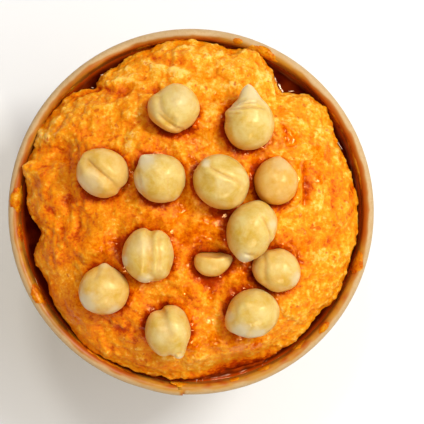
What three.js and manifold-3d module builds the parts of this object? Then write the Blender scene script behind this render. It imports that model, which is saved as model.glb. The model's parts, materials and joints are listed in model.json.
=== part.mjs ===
// A round paper tub heaped with red pepper hummus, with oil in the gap round the heap and twelve
// and a half cooked chickpeas on top. Millimetres, +Z up. The origin is the middle of the foot, on
// the table. Angles are in degrees, counted from +X towards +Y.
import * as THREE from "three";
import { mergeVertices } from "three/addons/utils/BufferGeometryUtils.js";
import Module from "manifold-3d";

const wasm = await Module();
wasm.setup();

// ---- Driving dimensions -----------------------------------------------------------------------

const GAP = 0.3; // between pieces that touch

// The tub: a tapered wall of card with a rolled rim, a turned-in hem at the foot and a glued seam.
const TUB_HEIGHT = 60;
const RIM_RADIUS = 48; // outside of the rolled rim
const FOOT_RADIUS = 38.5; // outside of the foot
const ROLL = 2.8; // thickness of the rolled rim
const CARD = 0.7;
const HEM_HEIGHT = 4.7;
const HEM_CARD = 1.6; // card and hem together
const SEAM_AT = 267.4;
const SEAM_WIDTH = 8;
const SEAM_STEP = 0.35; // how far the overlapping card stands out
const TUB_SIDES = 64;
const ROLL_STEP = 30; // degrees between the points of the rolled rim's section
const ROLL_NECK = 0.4; // height over which the wall's outside turns out into the roll

// The base: a card disc that stands on the hem.
const BASE_CARD = 0.8;

// The heap: level with the rim at its edge, domed, and dished a little off its middle.
const EDGE_RADIUS = 43.4;
const EDGE_BELOW_RIM = 1;
const DOME_RISE = 15;
const DOME_POWER = 0.6; // 0.5 is an ellipse, 1 a parabola
const DISH = { x: 2, y: -8, radius: 20, depth: 1.6 };
const SHOULDER_BELOW_EDGE = 2; // where the heap's side stops following its edge
const HEAP_SIDES = 96;
const HEAP_RINGS = 20; // from the edge to the middle
const RING_CROWDING = 0.8; // 1 spaces the rings as evenly as a sine does, less draws them inwards

// Where the heap's edge comes out towards the rim or draws back from it, in millimetres.
const LOBE_REACH = 5; // the higher, the nearer to the edge a lobe's shape ends
const LOBE_LIFT = 2.2; // rise of a lobe for each millimetre that it reaches over the rolled rim
const EDGE_LOBES = [
  { at: 22, spread: 8, out: -1.0 },
  { at: 38, spread: 4, out: 1.0 },
  { at: 47, spread: 2, out: 1.2 },
  { at: 53, spread: 6, out: -4.4 },
  { at: 69, spread: 4, out: 2.5 },
  { at: 92, spread: 9, out: 1.1 },
  { at: 117, spread: 5, out: -0.8 },
  { at: 128, spread: 3.2, out: -2.4 },
  { at: 149, spread: 7, out: 1.4 },
  { at: 165, spread: 3, out: 2.6 },
  { at: 188, spread: 6, out: -3.8 },
  { at: 205, spread: 5, out: -1.6 },
  { at: 234, spread: 9, out: 1.0 },
  { at: 286, spread: 9, out: -1.2 },
  { at: 321, spread: 3.5, out: -1.2 },
  { at: 351, spread: 4, out: 0.8 },
];

// Creases where one spoonful lies against the next, and shallow scoops between the chickpeas.
const FOLDS = [
  { from: [-26, 31], to: [-12, 31.5], spread: 2.4, depth: 1.8 },
  { from: [24.5, 30], to: [23.5, 24], spread: 2.2, depth: 1.2 },
  { from: [-14, 39], to: [0, 36.5], spread: 2, depth: 0.8 },
  { from: [29, 11], to: [28.4, 1], spread: 2, depth: 0.9 },
  { from: [-39, 14], to: [-33, 15], spread: 2.2, depth: 1.1 },
  { from: [-27, -26], to: [-14, -31], spread: 2, depth: 0.7 },
  { from: [2, -14], to: [9, -20], spread: 2.4, depth: 0.8 },
];

// Lumps left by the spoon: waves of these lengths and heights, in random directions.
const RELIEF = [
  { wavelength: 15, height: 0.5 },
  { wavelength: 8, height: 0.35 },
];
const WAVES_PER_RELIEF = 6;
const WAVE_VARIATION = 0.4; // spread of the wavelengths, as a share of each
const RELIEF_SEED = 7;
const RELIEF_EDGE = 0.12; // share of the radius over which the relief dies out at the edge

// Oil in the gap between the heap and the wall.
const OIL_BELOW_RIM = 5;
const OIL_DEPTH = 3.2;
const OIL_MIN_WIDTH = 1;
const HEAP_OVERHANG = 0.8; // how far the heap's edge stands out over its foot in the oil

// Chickpeas: x and y are the middle, wide and deep the sizes across and up the view from above
// once turned by turn, tall the height, sunk the depth in the hummus. The pole is the direction
// of the beak. A bump pushes the skin out or in round one direction, a groove is a furrow whose
// circle lies square to one direction, and offset moves it along that direction.
const CHICKPEAS = [
  {
    x: -4.4, y: 26.5, wide: 13.4, deep: 12.8, tall: 11.6, turn: -8, sunk: 3,
    pole: [192, 10],
    bumps: [
      { at: [122, 5], spread: 24, out: -1.2 },
      { at: [232, 0], spread: 20, out: -0.5 },
    ],
    grooves: [{ normal: [190, 15], offset: 0.5, spread: 0.15, depth: 0.7 }],
  },
  {
    x: 15, y: 22.2, wide: 12.7, deep: 13.2, tall: 11.6, turn: 0, sunk: 2.8,
    pole: [91, 12],
    bumps: [
      { at: [91, 12], spread: 12, out: 2.5 },
      { at: [91, 12], spread: 27, out: 1.3 },
      { at: [55, 10], spread: 14, out: 0.5 },
      { at: [166, 12], spread: 14, out: 0.8 },
      { at: [322, 0], spread: 16, out: 0.6 },
      { at: [238, 0], spread: 16, out: 0.3 },
    ],
    grooves: [],
  },
  {
    x: -22.4, y: 9.8, wide: 13.6, deep: 13, tall: 11.4, turn: -20, sunk: 3,
    pole: [143, 22],
    bumps: [
      { at: [143, 22], spread: 13, out: 0.9 },
      { at: [320, 0], spread: 30, out: -0.3 },
    ],
    grooves: [{ normal: [55, 0], offset: -0.04, spread: 0.14, depth: 0.7 }],
  },
  {
    x: -7.7, y: 8.6, wide: 13.4, deep: 12.8, tall: 11.8, turn: 10, sunk: 2.8,
    pole: [125, 15],
    bumps: [
      { at: [128, 10], spread: 10, out: 1.4 },
      { at: [50, 0], spread: 22, out: 0.4 },
      { at: [312, 0], spread: 20, out: 0.6 },
      { at: [85, 5], spread: 22, out: -0.5 },
    ],
    grooves: [],
  },
  {
    x: 7.8, y: 7.6, wide: 14.8, deep: 13.8, tall: 12.4, turn: -24, sunk: 2.8,
    pole: [132, 35],
    bumps: [
      { at: [132, 35], spread: 14, out: 0.5 },
      { at: [225, 0], spread: 24, out: -0.3 },
      { at: [300, 0], spread: 18, out: 0.5 },
    ],
    grooves: [{ normal: [62, 25], offset: 0.12, spread: 0.1, depth: 0.5 }],
  },
  {
    x: 21.8, y: 7.6, wide: 11.3, deep: 12.1, tall: 10.8, turn: 0, sunk: 2.8,
    pole: [85, 12],
    bumps: [
      { at: [85, 12], spread: 22, out: 0.5 },
      { at: [48, 0], spread: 18, out: -0.4 },
    ],
    grooves: [],
  },
  {
    x: 15.6, y: -4.5, wide: 15.4, deep: 12.6, tall: 12.4, turn: 67, sunk: 2.2,
    pole: [256, 5],
    bumps: [
      { at: [256, 5], spread: 13, out: 0.9 },
      { at: [335, -5], spread: 18, out: -0.6 },
    ],
    grooves: [{ normal: [32, 8], offset: 0.42, spread: 0.1, depth: 0.3 }],
  },
  {
    x: -10.7, y: -11.1, wide: 12.7, deep: 14.2, tall: 11.8, turn: 0, sunk: 2.8,
    pole: [92, 10],
    bumps: [
      { at: [45, 0], spread: 20, out: 0.7 },
      { at: [308, 0], spread: 20, out: 0.9 },
      { at: [190, 0], spread: 12, out: 0.5 },
    ],
    grooves: [{ normal: [4, 0], offset: 0.17, spread: 0.16, depth: 1 }],
  },
  {
    x: -22.2, y: -20.3, wide: 13, deep: 11.9, tall: 11, turn: 0, sunk: 2.8,
    pole: [88, 20],
    bumps: [
      { at: [88, 12], spread: 11, out: 1.4 },
      { at: [58, 5], spread: 20, out: 0.3 },
      { at: [120, 5], spread: 20, out: 0.3 },
      { at: [250, -10], spread: 26, out: 0.3 },
    ],
    grooves: [],
  },
  {
    x: 21.9, y: -15, wide: 12.7, deep: 11.4, tall: 11.2, turn: -20, sunk: 3.2,
    pole: [172, 15],
    bumps: [
      { at: [115, 5], spread: 20, out: -0.3 },
      { at: [215, 0], spread: 18, out: -0.7 },
    ],
    grooves: [{ normal: [168, 12], offset: 0.42, spread: 0.14, depth: 0.7 }],
  },
  {
    x: -5.8, y: -30.2, wide: 11.8, deep: 12.8, tall: 11.2, turn: 0, sunk: 2.8,
    pole: [100, 10],
    bumps: [
      { at: [296, 5], spread: 13, out: 2 },
      { at: [62, 0], spread: 20, out: 0.4 },
    ],
    grooves: [{ normal: [15, 0], offset: -0.12, spread: 0.16, depth: 0.9 }],
  },
  {
    x: 15.8, y: -26, wide: 14, deep: 12.6, tall: 11.4, turn: 8, sunk: 2.8,
    pole: [208, 0],
    bumps: [
      { at: [208, 0], spread: 14, out: 0.7 },
      { at: [160, 10], spread: 18, out: -0.6 },
      { at: [118, 50], spread: 14, out: 0.35 },
    ],
    grooves: [],
  },
];
const HALF_CHICKPEA = {
  x: 5.5, y: -12.5, wide: 9.3, deep: 8.4, tall: 6.4, turn: 0, sunk: 1.8,
  pole: [90, 12],
  bumps: [
    { at: [80, 30], spread: 14, out: -0.4 },
    { at: [20, 0], spread: 16, out: 0.9 },
    { at: [320, 0], spread: 18, out: -0.4 },
  ],
  grooves: [],
  face: { normal: [90, 12], distance: 1.5 },
};
const CHICKPEA_SIDES = 14;
const CHICKPEA_LATITUDES = [0, 12, 28, 48, 70, 92, 114, 136, 158, 180]; // from the beak
const HALF_LATITUDES = [0, 45, 66, 76, 94, 114, 136, 158, 180];

const LOOKS = {
  wall: { color: 0xcfa678, roughness: 0.8 },
  base: { color: 0xc39a6c, roughness: 0.85 },
  hummus: { color: 0xf0891c, roughness: 0.5 },
  oil: { color: 0x7a2404, roughness: 0.15 },
  chickpea: { color: 0xf0cf88, roughness: 0.35 },
};

// ---- Sizes worked out from them ---------------------------------------------------------------

const ROLL_RADIUS = ROLL / 2;
const ROLL_MIDDLE = { r: RIM_RADIUS - ROLL_RADIUS, z: TUB_HEIGHT - ROLL_RADIUS };
const RIM_INSIDE = RIM_RADIUS - ROLL;
const BASE_Z = HEM_HEIGHT + GAP;
const FLOOR_Z = BASE_Z + BASE_CARD + GAP; // underside of the hummus
const OIL_Z = TUB_HEIGHT - OIL_BELOW_RIM;
const LEDGE_Z = OIL_Z - OIL_DEPTH - GAP; // shelf of hummus under the oil
const EDGE_Z = TUB_HEIGHT - EDGE_BELOW_RIM;

const radians = THREE.MathUtils.degToRad;

// Inside radius of the tapered wall at height z.
function wallInside(z) {
  const foot = FOOT_RADIUS - CARD;
  return foot + ((RIM_INSIDE - foot) * z) / ROLL_MIDDLE.z;
}

// Bell curve, 1 at zero and about 0 beyond two spreads.
function bell(distance, spread) {
  return Math.exp(-((distance / spread) ** 2));
}

function direction([azimuth, elevation]) {
  const level = Math.cos(radians(elevation));
  return new THREE.Vector3(
    level * Math.cos(radians(azimuth)),
    level * Math.sin(radians(azimuth)),
    Math.sin(radians(elevation)),
  );
}

// Angle from one compass direction to another, from -180 to 180.
function turnBetween(from, to) {
  return THREE.MathUtils.euclideanModulo(to - from + 180, 360) - 180;
}

// ---- Making and joining meshes ----------------------------------------------------------------

function closed(geometry) {
  geometry.deleteAttribute("normal");
  geometry.deleteAttribute("uv");
  return mergeVertices(geometry);
}

// A body turned round the Z axis from points { r, z }, whose points move(point, angle) then shifts.
function turned(profile, sides, move = (point) => point) {
  const outline = profile.map(({ r, z }) => new THREE.Vector2(r, z));
  const lathe = new THREE.LatheGeometry(outline, sides);
  lathe.rotateX(Math.PI / 2);
  const points = lathe.getAttribute("position");
  for (let i = 0; i < points.count; i += 1) {
    const angle = Math.atan2(points.getY(i), points.getX(i));
    const row = i % profile.length;
    const { r, z } = move(profile[row], THREE.MathUtils.radToDeg(angle));
    const turn = profile[row].r === 0 ? 0 : angle;
    points.setXYZ(i, r * Math.cos(turn), r * Math.sin(turn), z);
  }
  return closed(lathe);
}

function toSolid(geometry) {
  return new wasm.Manifold(
    new wasm.Mesh({
      numProp: 3,
      vertProperties: new Float32Array(geometry.getAttribute("position").array),
      triVerts: new Uint32Array(geometry.getIndex().array),
    }),
  );
}

function toGeometry(solid) {
  const { vertProperties, triVerts } = solid.getMesh();
  const geometry = new THREE.BufferGeometry();
  geometry.setAttribute("position", new THREE.BufferAttribute(vertProperties, 3));
  geometry.setIndex(new THREE.BufferAttribute(triVerts, 1));
  return geometry;
}

function piece(name, geometry, look) {
  const material = new THREE.MeshStandardMaterial({ ...look, metalness: 0 });
  const mesh = new THREE.Mesh(geometry, material);
  mesh.name = name;
  return mesh;
}

// ---- The tub ----------------------------------------------------------------------------------

// The seam: near its angle the outside of the wall stands out by the thickness of the overlap.
function seamStep(angle) {
  const away = Math.abs(turnBetween(SEAM_AT, angle));
  const halfWidth = THREE.MathUtils.radToDeg(SEAM_WIDTH / 2 / FOOT_RADIUS);
  return away < halfWidth ? SEAM_STEP : 0;
}

function bowlWall() {
  const underRoll = ROLL_MIDDLE.z - ROLL_RADIUS;
  const outside = [
    { r: FOOT_RADIUS, z: 0, seam: true },
    { r: wallInside(HEM_HEIGHT) + CARD, z: HEM_HEIGHT, seam: true },
    { r: wallInside(underRoll) + CARD, z: underRoll - ROLL_NECK, seam: true },
  ];
  const roll = [];
  for (let around = -90; around <= 180; around += ROLL_STEP) {
    roll.push({
      r: ROLL_MIDDLE.r + ROLL_RADIUS * Math.cos(radians(around)),
      z: ROLL_MIDDLE.z + ROLL_RADIUS * Math.sin(radians(around)),
    });
  }
  const inside = [
    { r: wallInside(HEM_HEIGHT), z: HEM_HEIGHT },
    { r: FOOT_RADIUS - HEM_CARD, z: HEM_HEIGHT },
    { r: FOOT_RADIUS - HEM_CARD, z: 0 },
    { r: FOOT_RADIUS, z: 0, seam: true },
  ];
  return turned([...outside, ...roll, ...inside], TUB_SIDES, ({ r, z, seam }, angle) => {
    return { r: seam ? r + seamStep(angle) : r, z };
  });
}

function bowlBase() {
  const disc = new THREE.CylinderGeometry(
    wallInside(BASE_Z) - GAP,
    wallInside(BASE_Z) - GAP,
    BASE_CARD,
    TUB_SIDES,
  );
  disc.rotateX(Math.PI / 2);
  disc.translate(0, 0, BASE_Z + BASE_CARD / 2);
  return closed(disc);
}

// ---- The hummus -------------------------------------------------------------------------------

// Small repeatable random numbers from 0 to 1.
function randomFrom(seed) {
  let state = seed;
  return () => {
    state = (state * 16807) % 2147483647;
    return state / 2147483647;
  };
}

function makeRelief() {
  const random = randomFrom(RELIEF_SEED);
  const waves = [];
  for (const { wavelength, height } of RELIEF) {
    for (let i = 0; i < WAVES_PER_RELIEF; i += 1) {
      const heading = 2 * Math.PI * random();
      const number = ((2 * Math.PI) / wavelength) * (1 + WAVE_VARIATION * (random() - 0.5));
      waves.push({
        kx: number * Math.cos(heading),
        ky: number * Math.sin(heading),
        phase: 2 * Math.PI * random(),
        height: height * Math.sqrt(2 / WAVES_PER_RELIEF),
      });
    }
  }
  return (x, y) =>
    waves.reduce((sum, w) => sum + w.height * Math.sin(w.kx * x + w.ky * y + w.phase), 0);
}

const reliefAt = makeRelief();

function foldDepth(x, y) {
  const point = new THREE.Vector3(x, y, 0);
  const nearest = new THREE.Vector3();
  let depth = 0;
  for (const fold of FOLDS) {
    const line = new THREE.Line3(
      new THREE.Vector3(...fold.from, 0),
      new THREE.Vector3(...fold.to, 0),
    );
    line.closestPointToPoint(point, true, nearest);
    depth += fold.depth * bell(point.distanceTo(nearest), fold.spread);
  }
  return depth;
}

// How far out the heap reaches in one compass direction, seen from above.
function heapEdge(angle) {
  return EDGE_LOBES.reduce(
    (radius, lobe) => radius + lobe.out * bell(turnBetween(lobe.at, angle), lobe.spread),
    EDGE_RADIUS,
  );
}

// How far the heap's edge is lifted, where a lobe reaches over the rolled rim.
function edgeLift(angle) {
  return LOBE_LIFT * Math.max(0, heapEdge(angle) - (RIM_INSIDE - GAP));
}

// Where the heap stands in the oil: under its edge, with room left for the ring of oil.
function heapFoot(angle) {
  const mostRoom = wallInside(LEDGE_Z) - 2 * GAP - OIL_MIN_WIDTH;
  return Math.min(heapEdge(angle) - HEAP_OVERHANG, mostRoom);
}

// Height of the heap's surface, for a share of the edge's radius in one compass direction. The
// dome is round inside and takes on the edge's lobes only near the edge.
function heapHeight(share, angle) {
  const radius = share * heapEdge(angle);
  const x = radius * Math.cos(radians(angle));
  const y = radius * Math.sin(radians(angle));
  const nearEdge = share ** LOBE_REACH;
  const domeShare = THREE.MathUtils.lerp(radius / EDGE_RADIUS, share, nearEdge);
  const dome = DOME_RISE * Math.max(0, 1 - domeShare ** 2) ** DOME_POWER;
  const dish = DISH.depth * bell(Math.hypot(x - DISH.x, y - DISH.y), DISH.radius);
  const fade = Math.min(1, (1 - share) / RELIEF_EDGE);
  const lift = nearEdge ** 2 * edgeLift(angle);
  return EDGE_Z + lift + dome - dish + fade * (reliefAt(x, y) - foldDepth(x, y));
}

function heapHeightAt(x, y) {
  const angle = THREE.MathUtils.radToDeg(Math.atan2(y, x));
  return heapHeight(Math.hypot(x, y) / heapEdge(angle), angle);
}

function hummusHeap() {
  const profile = [
    { r: 0, z: FLOOR_Z },
    { r: wallInside(FLOOR_Z) - GAP, z: FLOOR_Z },
    { r: wallInside(LEDGE_Z) - GAP, z: LEDGE_Z },
    { r: 1, z: LEDGE_Z, foot: true },
    { r: 1, z: OIL_Z, foot: true },
    { r: 1, z: EDGE_Z - SHOULDER_BELOW_EDGE, side: true },
    { r: 1, z: 0, shoulder: true },
  ];
  for (let ring = 0; ring <= HEAP_RINGS; ring += 1) {
    const share = Math.sin((Math.PI / 2) * (1 - ring / HEAP_RINGS) ** RING_CROWDING);
    profile.push({ r: ring < HEAP_RINGS ? 1 : 0, z: 0, share });
  }
  return turned(profile, HEAP_SIDES, ({ r, z, foot, side, shoulder, share }, angle) => {
    const edge = heapEdge(angle);
    if (foot) return { r: heapFoot(angle), z };
    if (side) return { r: Math.min(edge, wallInside(z) - GAP), z };
    if (shoulder) return { r: Math.min(edge, RIM_INSIDE - GAP), z: EDGE_Z + edgeLift(angle) - GAP };
    if (share === undefined) return { r, z };
    return { r: share * edge, z: heapHeight(share, angle) };
  });
}

// ---- The oil ----------------------------------------------------------------------------------

function oilRing() {
  const bottom = LEDGE_Z + GAP;
  const profile = [
    { r: 1, z: bottom, inner: true },
    { r: wallInside(bottom) - GAP, z: bottom },
    { r: wallInside(OIL_Z) - GAP, z: OIL_Z },
    { r: 1, z: OIL_Z, inner: true },
    { r: 1, z: bottom, inner: true },
  ];
  return turned(profile, HEAP_SIDES, ({ r, z, inner }, angle) => {
    return { r: inner ? heapFoot(angle) + GAP : r, z };
  });
}

// ---- The chickpeas ----------------------------------------------------------------------------

// Distance from a chickpea's middle to its skin in the direction of the unit vector u.
function skinDistance(u, pea) {
  const wideAxis = direction([pea.turn, 0]);
  const deepAxis = direction([pea.turn + 90, 0]);
  const egg = new THREE.Vector3(
    u.dot(wideAxis) / (pea.wide / 2),
    u.dot(deepAxis) / (pea.deep / 2),
    u.z / (pea.tall / 2),
  );
  let distance = 1 / egg.length();
  for (const bump of pea.bumps) {
    const away = THREE.MathUtils.radToDeg(u.angleTo(direction(bump.at)));
    distance += bump.out * bell(away, bump.spread);
  }
  for (const groove of pea.grooves) {
    const across = u.dot(direction(groove.normal)) - groove.offset;
    distance -= groove.depth * bell(across, groove.spread);
  }
  if (pea.face) {
    const facing = u.dot(direction(pea.face.normal));
    if (facing > 0) distance = Math.min(distance, pea.face.distance / facing);
  }
  return distance;
}

// The same chickpea with room added all round, for the socket it lies in.
function withRoom(pea, room) {
  return {
    ...pea,
    wide: pea.wide + 2 * room,
    deep: pea.deep + 2 * room,
    tall: pea.tall + 2 * room,
    face: pea.face && { ...pea.face, distance: pea.face.distance + room },
  };
}

function chickpeaMiddle({ x, y, tall, sunk }) {
  return new THREE.Vector3(x, y, heapHeightAt(x, y) + tall / 2 - sunk);
}

// The skin of a chickpea round its middle. Its rings run round the beak, and the first of its
// sides faces up.
function chickpea(pea, middle, latitudes) {
  const profile = latitudes.map((degrees) => {
    const onPole = degrees === 0 || degrees === 180;
    return { r: onPole ? 0 : Math.sin(radians(degrees)), z: Math.cos(radians(degrees)) };
  });
  const ball = turned(profile.reverse(), CHICKPEA_SIDES);
  const beak = direction(pea.pole);
  const across = new THREE.Vector3(0, 0, 1).cross(beak).normalize();
  const up = beak.clone().cross(across);
  ball.applyMatrix4(new THREE.Matrix4().makeBasis(up, across.negate(), beak));
  const points = ball.getAttribute("position");
  const u = new THREE.Vector3();
  for (let i = 0; i < points.count; i += 1) {
    u.fromBufferAttribute(points, i).normalize();
    const point = u.clone().multiplyScalar(skinDistance(u, pea)).add(middle);
    points.setXYZ(i, point.x, point.y, point.z);
  }
  return ball;
}

// ---- The whole tub of hummus ------------------------------------------------------------------

const tub = new THREE.Group();
tub.add(piece("bowl_wall", bowlWall(), LOOKS.wall));
tub.add(piece("bowl_base", bowlBase(), LOOKS.base));
tub.add(piece("oil", oilRing(), LOOKS.oil));

const toppings = CHICKPEAS.map((pea, i) => {
  return { name: `chickpea_${String(i + 1).padStart(2, "0")}`, pea, latitudes: CHICKPEA_LATITUDES };
});
toppings.push({ name: "chickpea_half", pea: HALF_CHICKPEA, latitudes: HALF_LATITUDES });

let heap = toSolid(hummusHeap());
for (const { name, pea, latitudes } of toppings) {
  const middle = chickpeaMiddle(pea);
  heap = heap.subtract(toSolid(chickpea(withRoom(pea, GAP), middle, latitudes)));
  tub.add(piece(name, chickpea(pea, middle, latitudes), LOOKS.chickpea));
}
tub.add(piece("hummus", toGeometry(heap), LOOKS.hummus));

export default tub;
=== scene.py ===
"""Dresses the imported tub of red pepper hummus: kraft card, grainy dip, oil and damp chickpeas.

Lengths in the constants and tables are in millimetres unless a comment says otherwise, and the
settings are in metres, as Blender keeps them. Compass directions are in degrees, counted from +X
towards +Y, seen from above. Places of spots and paths are as seen from above, too.
"""

import itertools
import json
import math
from contextlib import contextmanager

import bmesh
import bpy
import numpy as np
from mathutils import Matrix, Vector
from mathutils.bvhtree import BVHTree

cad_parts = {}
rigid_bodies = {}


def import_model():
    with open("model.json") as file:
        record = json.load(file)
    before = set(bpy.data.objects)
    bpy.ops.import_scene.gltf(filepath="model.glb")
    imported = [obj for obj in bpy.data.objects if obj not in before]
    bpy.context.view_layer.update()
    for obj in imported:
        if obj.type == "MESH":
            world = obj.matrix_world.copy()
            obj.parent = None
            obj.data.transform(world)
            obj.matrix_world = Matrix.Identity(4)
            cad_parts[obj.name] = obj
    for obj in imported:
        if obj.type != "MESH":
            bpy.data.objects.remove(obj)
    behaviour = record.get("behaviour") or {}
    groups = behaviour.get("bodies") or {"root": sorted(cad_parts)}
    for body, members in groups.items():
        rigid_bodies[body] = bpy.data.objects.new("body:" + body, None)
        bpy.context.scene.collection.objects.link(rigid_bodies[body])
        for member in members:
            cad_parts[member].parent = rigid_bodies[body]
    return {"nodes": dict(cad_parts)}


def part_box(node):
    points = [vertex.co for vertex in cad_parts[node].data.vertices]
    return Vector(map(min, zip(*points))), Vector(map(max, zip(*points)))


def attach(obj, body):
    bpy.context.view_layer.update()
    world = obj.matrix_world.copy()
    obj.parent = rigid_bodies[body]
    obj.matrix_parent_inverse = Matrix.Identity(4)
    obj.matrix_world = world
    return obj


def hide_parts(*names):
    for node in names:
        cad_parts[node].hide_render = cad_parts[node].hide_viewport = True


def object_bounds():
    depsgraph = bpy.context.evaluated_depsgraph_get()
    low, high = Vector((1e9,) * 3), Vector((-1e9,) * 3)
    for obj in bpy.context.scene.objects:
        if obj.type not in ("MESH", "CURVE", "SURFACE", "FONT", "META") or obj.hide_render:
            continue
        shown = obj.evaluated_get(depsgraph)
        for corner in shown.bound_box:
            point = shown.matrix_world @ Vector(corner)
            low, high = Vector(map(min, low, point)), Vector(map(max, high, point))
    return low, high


bl_info = {
    "name": "Tub of red pepper hummus",
    "version": (1, 0, 0),
    "blender": (4, 5, 0),
    "location": "View3D > Sidebar > Hummus",
    "description": "Dresses the packed tub of hummus: kraft card, grainy dip, oil and damp chickpeas",
    "category": "Object",
}

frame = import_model()
CAD_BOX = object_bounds()

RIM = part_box("bowl_wall")[1]  # the rim's outside radius and top

MM = 0.001


# ---- Colours and numbers --------------------------------------------------------------------------

def linear(hex_colour):
    """Turns an sRGB hex colour into the linear colour that Blender works in."""
    channels = [int(hex_colour[i:i + 2], 16) / 255 for i in (0, 2, 4)]
    return tuple(c / 12.92 if c <= 0.04045 else ((c + 0.055) / 1.055) ** 2.4 for c in channels)


def rgba(colour):
    return (*colour, 1.0)


def per_mm(size):
    """Scale of a noise texture on coordinates in metres whose features are size millimetres across."""
    return 1 / (size * MM)


def bell(distance, spread):
    """1 at zero, and about 0 beyond two spreads."""
    return np.exp(-((distance / spread) ** 2))


def smoothstep(low, high, value):
    """0 up to low, 1 from high, and eased between them. They may be given from high to low."""
    t = np.clip((value - low) / (high - low), 0, 1)
    return t * t * (3 - 2 * t)


# ---- Settings -------------------------------------------------------------------------------------

def length_setting(name, description, size):
    """A length, given in millimetres."""
    return bpy.props.FloatProperty(
        name=name, description=description, default=size * MM, unit="LENGTH", precision=5)


def colour_setting(name, description, hex_colour):
    """A colour, given as sRGB hex."""
    return bpy.props.FloatVectorProperty(
        name=name, description=description, default=linear(hex_colour), subtype="COLOR")


def power_setting(name, description, watts):
    """The power of a light."""
    return bpy.props.FloatProperty(name=name, description=description, default=watts, unit="POWER")


class TubSettings(bpy.types.PropertyGroup):
    card: length_setting("Card", "Thickness of the card", 0.7)
    roll: length_setting("Rolled rim", "Thickness of the rolled rim", 2.8)
    hem_height: length_setting("Hem", "Height of the turned-in hem at the foot", 4.7)
    seam_at: bpy.props.FloatProperty(
        name="Seam", description="Where the card's outer edge ends", default=math.radians(267.4),
        subtype="ANGLE")
    seam_step: length_setting("Seam step", "How far the overlapping edge stands out", 0.35)
    kraft: colour_setting("Kraft", "Colour of the card", "BAA27F")
    fibre: colour_setting("Fibre", "Colour of the darker fibres", "AC8B60")
    damp: colour_setting("Damp card", "Colour of card with a little oil in it", "A87028")
    # Also the colour of the painted shade along the seam.
    stain: colour_setting("Stain", "Colour of the oil-soaked card inside", "A44C08")
    film: colour_setting("Film", "Colour of the thin films of dip wiped over the rim", "B28228")


class HummusSettings(bpy.types.PropertyGroup):
    grain_voxel: length_setting("Voxel", "Size of the mesh's faces on the dip", 0.36)
    fold_height: length_setting("Folds", "Height of the folds about 6 mm across", 0.38)
    clod_height: length_setting("Clods", "Height of the lumps about 2.5 mm across", 0.4)
    crumb_height: length_setting("Crumbs", "Height of the crumbs about 1.5 mm across", 0.38)
    grit_height: length_setting("Grit", "Height of the grains about 1 mm across", 0.19)
    pale: colour_setting("Pale grains", "Colour of the grains of chickpea", "F0C66A")
    # The tone from pale grains and crests down to hollows follows the relief: raised paste is painted
    # lighter and hollows darker, as light and shade, besides the paste's own colours.
    crest: colour_setting("Crests", "Colour of the airy crests", "E8AC32")
    paste: colour_setting("Paste", "Colour of the paste", "E09008")
    hollow: colour_setting("Hollows", "Colour of the hollows, where oil gathers", "D87200")
    pepper: colour_setting("Pepper", "Colour of the specks of red pepper", "B83C00")
    # Deep oil is also the darkest painted shade, beside the chickpeas away from the light.
    deep: colour_setting("Deep oil", "Colour of the oil gathered round the chickpeas", "7C1A00")
    sheen: colour_setting("Sheen", "Tint of the light that the paste throws back", "FFCC90")


class OilSettings(bpy.types.PropertyGroup):
    colour: colour_setting("Oil", "Colour of the deep oil", "3C0600")
    shallow: colour_setting("Thin oil", "Colour of the oil where it is thin", "A83E04")
    sheen: colour_setting("Sheen", "Tint of the light that the oil throws back", "FFDCC4")
    meniscus: length_setting("Meniscus", "How high the oil climbs where it meets card or dip", 0.8)


class ChickpeaSettings(bpy.types.PropertyGroup):
    skin: colour_setting("Skin", "Colour of the chickpeas", "C09E38")
    pale: colour_setting("Pale skin", "Colour of the clouds in the skin", "D2C48A")
    loose: colour_setting("Loose skin", "Colour of loose, whitish skin", "CEC4A8")
    # Also painted shade: in the creases and on the sides away from the light.
    deep: colour_setting("Creases", "Colour deep in the creases and where oil has stained", "D68A0E")
    sheen: colour_setting("Sheen", "Tint of the light that the damp skin throws back", "FFECC8")


class StageSettings(bpy.types.PropertyGroup):
    camera_height: bpy.props.FloatProperty(
        name="Camera height", description="Height of the camera above the rim", default=0.5,
        unit="LENGTH")
    key_power: power_setting("Key light", "Power of the large light at the right", 3.7)
    fill_power: power_setting("Fill light", "Power of the light at the left", 0.9)
    core_power: power_setting(
        "Core light", "Power of the small light within the key, which glints in the oil", 5.7)
    back_power: power_setting("Back light", "Power of the small light behind the tub", 1.8)
    front_power: power_setting("Front light", "Power of the small light before the tub", 2.6)
    sky: bpy.props.FloatProperty(
        name="Room light", description="Strength of the even light from all sides", default=0.36)
    floor: colour_setting("Floor", "Colour of the floor", "E4EDFF")


SETTINGS = {
    "tub_look": TubSettings,
    "hummus_look": HummusSettings,
    "oil_look": OilSettings,
    "chickpea_look": ChickpeaSettings,
    "stage_look": StageSettings,
}


# ---- Selecting and modelling ----------------------------------------------------------------------

FACE_LIMIT = 190_000  # most triangles in a thinned piece
MERGED = 0.002  # points of a CAD node that are closer than this are one
SAME_PLACE = 0.01  # points closer than this to a place count as on it


def only(obj):
    """Makes obj the one selected object."""
    for other in bpy.context.selected_objects:
        other.select_set(False)
    obj.select_set(True)
    bpy.context.view_layer.objects.active = obj


@contextmanager
def editing(obj):
    """Edit mode on obj, with all of it selected."""
    only(obj)
    bpy.ops.object.mode_set(mode="EDIT")
    bpy.ops.mesh.select_all(action="SELECT")
    yield
    bpy.ops.object.mode_set(mode="OBJECT")


def select_points(obj, wanted):
    """In edit mode, selects the points whose place passes the test, and nothing else."""
    bpy.ops.mesh.select_mode(type="VERT")
    bpy.ops.mesh.select_all(action="DESELECT")
    mesh = bmesh.from_edit_mesh(obj.data)
    for point in mesh.verts:
        point.select = bool(wanted(point.co))
    mesh.select_flush(True)
    bmesh.update_edit_mesh(obj.data)


def modify(obj, kind, **settings):
    """Adds a modifier and applies it."""
    only(obj)
    modifier = obj.modifiers.new(kind.title(), kind)
    for key, value in settings.items():
        setattr(modifier, key, value)
    bpy.ops.object.modifier_apply(modifier=modifier.name)


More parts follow.
